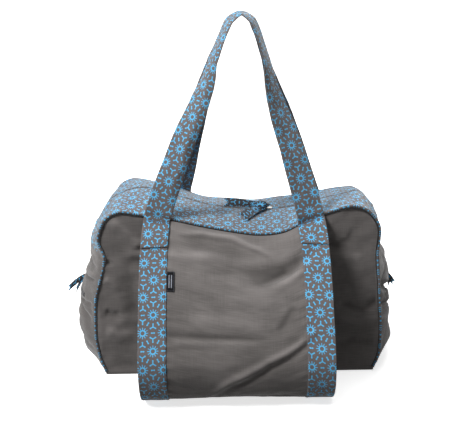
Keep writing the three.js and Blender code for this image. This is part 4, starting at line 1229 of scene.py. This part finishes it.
def label_look():
    """Black satin weave with two pale woven bars, framed by a thin line."""
    look = Look("label", Metallic=0.0, Sheen_Weight=0.0, Specular_IOR_Level=0.08)
    uv, u, v = look.cloth()
    frame_u = look.math("ABSOLUTE", look.math("SUBTRACT", u, 6.0))
    frame_v = look.math("ABSOLUTE", look.math("SUBTRACT", v, 16.5))
    grain = look.noise(look.stretched(uv, 3.0, 0.3), 1.0, 2.0)
    black = look.tones(grain, (0.3, srgb(5, 5, 7)), (0.7, srgb(13, 13, 16)))
    pale = look.tones(grain, (0.3, srgb(112, 116, 128)), (0.7, srgb(150, 154, 162)))
    bars = look.math("MINIMUM", look.band(frame_u, 1.9, 0.85, 0.1), look.edge(frame_v, 10.5, 0.1))
    rim = look.math("MAXIMUM", look.band(frame_u, 5.1, 0.16, 0.08), look.band(frame_v, 15.4, 0.16, 0.08))
    rim = look.math("MULTIPLY", rim, 0.35)
    colour = look.mix(look.math("MAXIMUM", bars, rim), black, pale)
    rough = look.math("MULTIPLY_ADD", grain, 0.2, 0.55)
    return look.finish(colour, rough, look.math("MULTIPLY_ADD", bars, 0.8, look.weave(u, v, 0.35)), 0.08)


LABEL = label_look()
build_label()


# The handles

CREST_TWIST = LEGS[-1, 3]


def handle_rows(facing):
    """A handle's rows from the low end of one tab over the crest to the other, each across the strap."""
    shares = np.sort(SHARES)
    tabs = []
    for side in (-1, 1):
        k = np.linspace(1, 0, 9)
        if facing < 0:
            x = strap_x(-1, side, shares)
            middle = np.array(strap_x(-1, side, 0.0))
            low = sling(middle, hang_step(middle, np.array(TAB_LENGTH + (9.0 if side < 0 else 0.0))), 0)[2]
            step = k[:, None] * hang_step_at(x, low)[None]
            rows, _, _ = sling_surface(np.broadcast_to(x, step.shape), step, TAB_OFFSET)
        else:
            x = strap_x(1, side, -shares)
            middle = np.array(strap_x(1, side, 0.0))
            low = 1 - TAB_LENGTH / (seam_top(BACK, middle) - PANEL_FOOT)
            up = 1 + (low - 1) * k
            over = STRAP_CLOTH + 0.1 + HANDLE_CLOTH / 2
            rows, _ = back_surface(np.broadcast_to(x, (len(k), len(x))), up[:, None] + 0 * x[None], over)
        tabs.append(rows)
    middle = len(shares) // 2
    feet = [(rows[-1, middle - 1] + rows[-1, middle]) / 2 for rows in tabs]
    crest_y = STRAP_WIDTH / 2 * math.sin(math.radians(CREST_TWIST)) + HANDLE_CLOTH + GAP
    crest_z = BODY_HEIGHT - BODY_HEIGHT * 0.02 + HANDLE_RISE
    foot_middle, foot_half = (feet[0][0] + feet[1][0]) / 2, (feet[1][0] - feet[0][0]) / 2
    bow = 0 if facing < 0 else BACK_BOW
    first = LEGS[0, 0]

    def leg(side, rise, spread_):
        foot = feet[0] if side < 0 else feet[1]
        x = foot_middle + (CREST_SHIFT - foot_middle) * rise - bow * math.sin(math.pi * rise)
        x += side * spread_ * foot_half
        if side < 0 < facing:
            x -= 5.5 * math.exp(-(((rise - 0.72) / 0.16) ** 2))
        lean = (rise - first) / (1 - first)
        return [x, foot[1] + (facing * crest_y - foot[1]) * lean, foot[2] + (crest_z - foot[2]) * rise]

    column = 1 if facing < 0 else 2
    places = [leg(-1, r[0], r[column]) for r in LEGS] + [leg(1, 1, 0)]
    places += [leg(1, r[0], r[column]) for r in LEGS[::-1]]
    twists = np.concatenate([LEGS[:, 3], [CREST_TWIST + 8], LEGS[::-1, 3]])
    curve = Spline(places)
    steps = np.linspace(0, curve.last, 4 * curve.last + 1)
    centre = curve.at(steps)
    along = unit(curve.at(steps + 0.01) - curve.at(steps - 0.01))
    twist = np.radians(np.interp(steps, np.arange(len(twists)), twists))[:, None]
    upwards = np.stack([-along[:, 2], 0 * along[:, 0], along[:, 0]], -1)
    face = np.array([0, facing, 0]) * np.cos(twist) + upwards * np.sin(twist)
    face = unit(face - along * np.sum(face * along, -1, keepdims=True))
    across = np.cross(face, along)
    rows = centre[:, None] + across[:, None] * (shares * STRAP_WIDTH)[None, :, None]
    control = np.concatenate([tabs[0], rows, tabs[1][::-1]])
    return control, shares, len(tabs[0])


def build_handle(name, node, facing):
    control, shares, tab = handle_rows(facing)
    spline = Spline(control)
    t = np.linspace(0, spline.last, 6000)
    middle = len(shares) // 2
    run = arc(spline.at(t)[:, middle])
    total = run[-1]
    even = np.concatenate([[0, 0.6], np.arange(1.6, total - 1.6, 2.1), [total - 0.6, total]])
    at = np.interp(even, run, t)
    rows = spline.at(at)
    foot = float(np.interp(tab - 1, t, run))
    far = float(np.interp(spline.last - tab + 1, t, run))
    leg = np.clip(np.minimum(even - foot, far - even) / ((far - foot) / 2), 0, 1)
    left = even < (foot + far) / 2
    # How far the strap's edges fold back along its length, in degrees
    inner = np.where(left, np.interp(leg, [0, 0.08, 0.3, 0.6, 0.78, 0.9, 1], [0, 16, 46, 50, 24, 6, 0]),
                     np.interp(leg, [0, 0.3, 0.6, 0.85, 1], [0, 6, 12, 6, 0]))
    outer = np.interp(leg, [0, 0.3, 0.6, 0.85, 1], [0, 5, 8, 4, 0])
    start = np.where(left, np.interp(leg, [0, 0.5, 1], [0.2, 0.14, 0.2]), 0.2)
    if facing > 0:
        inner = outer = np.interp(leg, [0, 0.3, 0.6, 0.85, 1], [0, 12, 16, 6, 0])
        start = np.full(len(leg), 0.15)
    fine = np.linspace(0, 0.5, 60)

    def bent(angle, begin):
        turn = np.radians(angle)[:, None] * smooth((fine[None] - begin[:, None]) / 0.16)
        step = fine[1] * STRAP_WIDTH
        x = np.concatenate([np.zeros((len(angle), 1)), np.cumsum(np.cos(turn[:, 1:]) * step, 1)], 1)
        y = np.concatenate([np.zeros((len(angle), 1)), np.cumsum(-np.sin(turn[:, 1:]) * step, 1)], 1)
        return x, y

    xi, yi = bent(inner, start)
    xo, yo = bent(outer, np.full(len(leg), 0.12))
    across = unit(rows[:, -1] - rows[:, 0])
    n = unit(np.cross(np.gradient(rows[:, middle], axis=0), across))
    flat = shares * STRAP_WIDTH
    xs = np.empty((len(even), len(shares)))
    ys = np.empty_like(xs)
    for j, share in enumerate(shares):
        where = abs(share) / fine[1]
        k = min(int(where), 58)
        w = where - k
        x, y = (xi, yi) if share < 0 else (xo, yo)
        xs[:, j] = (x[:, k] * (1 - w) + x[:, k + 1] * w) * (-1 if share < 0 else 1)
        ys[:, j] = y[:, k] * (1 - w) + y[:, k + 1] * w
    ys += 0.3 * np.abs(ys.min(1, keepdims=True))
    free = smooth(leg / 0.06)[:, None]
    rows = rows + across[:, None] * ((xs - flat) * free)[..., None] + n[:, None] * (ys * free)[..., None]
    side = shares[None] + 0 * even[:, None]
    h = rumple(side * 3, even[:, None] + 0 * side, 91 + facing, (1.2, 46, 1.1), (0.7, 17, 0.4))
    h = h * smooth(leg / 0.05)[:, None]
    sunk = 7.0 if facing < 0 else -2.0
    bend = bell(even - foot + sunk, 4.5) + bell(far + sunk * 0.3 - even, 4.5)
    h = h - (2.3 if facing < 0 else 1.4) * (bend[:, None] * (0.6 + 0.4 * noise(side * 5, side * 0 + 3, 95)))
    rows = rows + n[:, None] * h[..., None]
    repeat = MOTIF_PITCH * math.sqrt(3)
    slack = (repeat * round((far - foot - 20.5) / repeat) - (far - foot) + 20.5) if facing < 0 else 0.0
    v = even - foot - 7.0 + slack * smooth((even / total - 0.36) / 0.28)
    tabbed = np.where((even < foot - max(sunk, 0.0)) | (even > far), 1.0, 0.0)
    v = v + 9.0 * tabbed
    u = side * STRAP_WIDTH + (5.0 * tabbed)[:, None]
    uv = np.stack([u, v[:, None] + 0 * u], -1)
    # Painted shade: darker in folds and in the crease where the handle bends onto its tab, lighter on
    # ridges.
    shade_and_tone = np.clip(h / 3, -1, 1) * 0.5 - 1.5 * bend[:, None]
    thick = strap_thickness(len(even), HANDLE_CLOTH, shares)
    thick[[0, -1]] *= 0.3
    thick[[1, -2]] *= 0.6
    # The back handle's inner face gets the darker copy of the print: painted shade.
    inside = SHADED_PRINT if facing > 0 else None
    obj = wall(name, rows, thick, PRINT, uv, np.clip(shade_and_tone, -1, 1), [node], inside)
    flat = (STRAP_WIDTH / 1000, total / 1000)
    normal = grid_normals(rows)
    edge_lines(rows, normal, HANDLE_CLOTH, shares)
    edge_lines(rows, -normal, HANDLE_CLOTH, shares)
    # Each tab is sewn across near its end and near the handle's foot
    for low, high in ((0, np.nonzero(even <= foot)[0][-1]), (np.nonzero(even >= far)[0][0], len(even))):
        for share in (0.06, 0.94):
            i = min(max(int(low + share * (high - low)), 1), len(even) - 2)
            LINES.append((rows[i, 2:-2] + normal[i, 2:-2] * HANDLE_CLOTH / 2, normal[i, 2:-2]))


build_handle("handle_cloth_front", "handle_front", -1)
build_handle("handle_cloth_back", "handle_back", 1)
thread = stitches("strap_stitches", LINES)


# Floor, light and camera

FLOOR_GLOW = 0.7


def build_stage():
    """A white dish: level under the bag and rising far off."""
    rise = np.linspace(0.1, math.pi / 2, 16)
    r = np.concatenate([np.linspace(0, 3.2, 12), 3.2 + 1.8 * np.sin(rise), [5.0, 5.0]])
    z = np.concatenate([np.zeros(12), 1.8 - 1.8 * np.cos(rise), [4.0, 6.0]])
    turn = np.linspace(0, 2 * math.pi, 72, endpoint=False)
    out, up = r[:, None], z[:, None]
    points = np.stack([out * np.cos(turn), out * np.sin(turn), up + 0 * turn - 0.0004], -1)
    points = points.reshape(-1, 3) * 1000
    at = np.arange(len(r) * 72).reshape(len(r), 72)
    nxt = np.roll(at, -1, axis=1)
    quads = np.stack([at[:-1], at[1:], nxt[1:], nxt[:-1]], -1).reshape(-1, 4)
    look = Look("floor", Roughness=0.9, Specular_IOR_Level=0.1)
    look.shader.inputs["Base Color"].default_value = (0.93, 0.93, 0.93, 1)
    look.shader.inputs["Emission Color"].default_value = (1, 1, 1, 1)
    place = look.node("ShaderNodeTexCoord").outputs["Object"]
    reach = look.node("ShaderNodeVectorMath", [place], operation="LENGTH").outputs["Value"]
    glow = look.node("ShaderNodeMapRange", [reach, 0.5, 2.6, FLOOR_GLOW, 1.1]).outputs[0]
    look.tree.links.new(glow, look.shader.inputs["Emission Strength"])
    floor = add_mesh("floor", points, quads, look.material)
    floor.visible_diffuse = False


def stand(name, data, place, axes):
    """A light or camera in the scene, at a place and with its three axes."""
    obj = bpy.data.objects.new(name, data)
    bpy.context.scene.collection.objects.link(obj)
    rows = [[*(float(v[k]) for v in axes), float(place[k])] for k in range(3)]
    obj.matrix_world = Matrix(rows + [[0, 0, 0, 1]])
    return obj


def add_light(name, place, target, size, energy):
    data = bpy.data.lights.new(name, "AREA")
    data.shape = "DISK"
    data.size = size
    data.energy = energy
    z = unit(np.array(place, float) - np.array(target, float))
    x = unit(np.cross([0, 0, 1.0], z))
    stand(name, data, place, (x, np.cross(z, x), z))


build_stage()
add_light("key", (-1.55, -1.15, 2.25), (0, -0.05, 0.2), 1.0, 86)
add_light("top", (0.1, 0.5, 3.0), (0, 0, 0.2), 2.0, 58)
add_light("fill", (0.9, 2.4, 1.3), (0, 0, 0.2), 1.6, 20)
world = bpy.data.worlds.new("studio")
bpy.context.scene.world = world
world.use_nodes = True
world.node_tree.nodes["Background"].inputs[0].default_value = (1, 1, 1, 1)
world.node_tree.nodes["Background"].inputs[1].default_value = 0.13

pitch, roll = math.radians(16), math.radians(1)
forward = np.array([0, math.cos(pitch), -math.sin(pitch)])
right, up = np.array([1.0, 0, 0]), np.array([0, math.sin(pitch), math.cos(pitch)])
right, up = math.cos(roll) * right - math.sin(roll) * up, math.sin(roll) * right + math.cos(roll) * up
data = bpy.data.cameras.new("camera")
data.sensor_width = 36
data.lens = 36 * 770 / 460  # a focal length of 770 pixels over the photo's width
bpy.context.scene.camera = stand("camera", data, (-0.015, -1.305, 0.632), (right, up, -forward))
bpy.context.scene.view_settings.view_transform = "Standard"

bpy.context.view_layer.update()
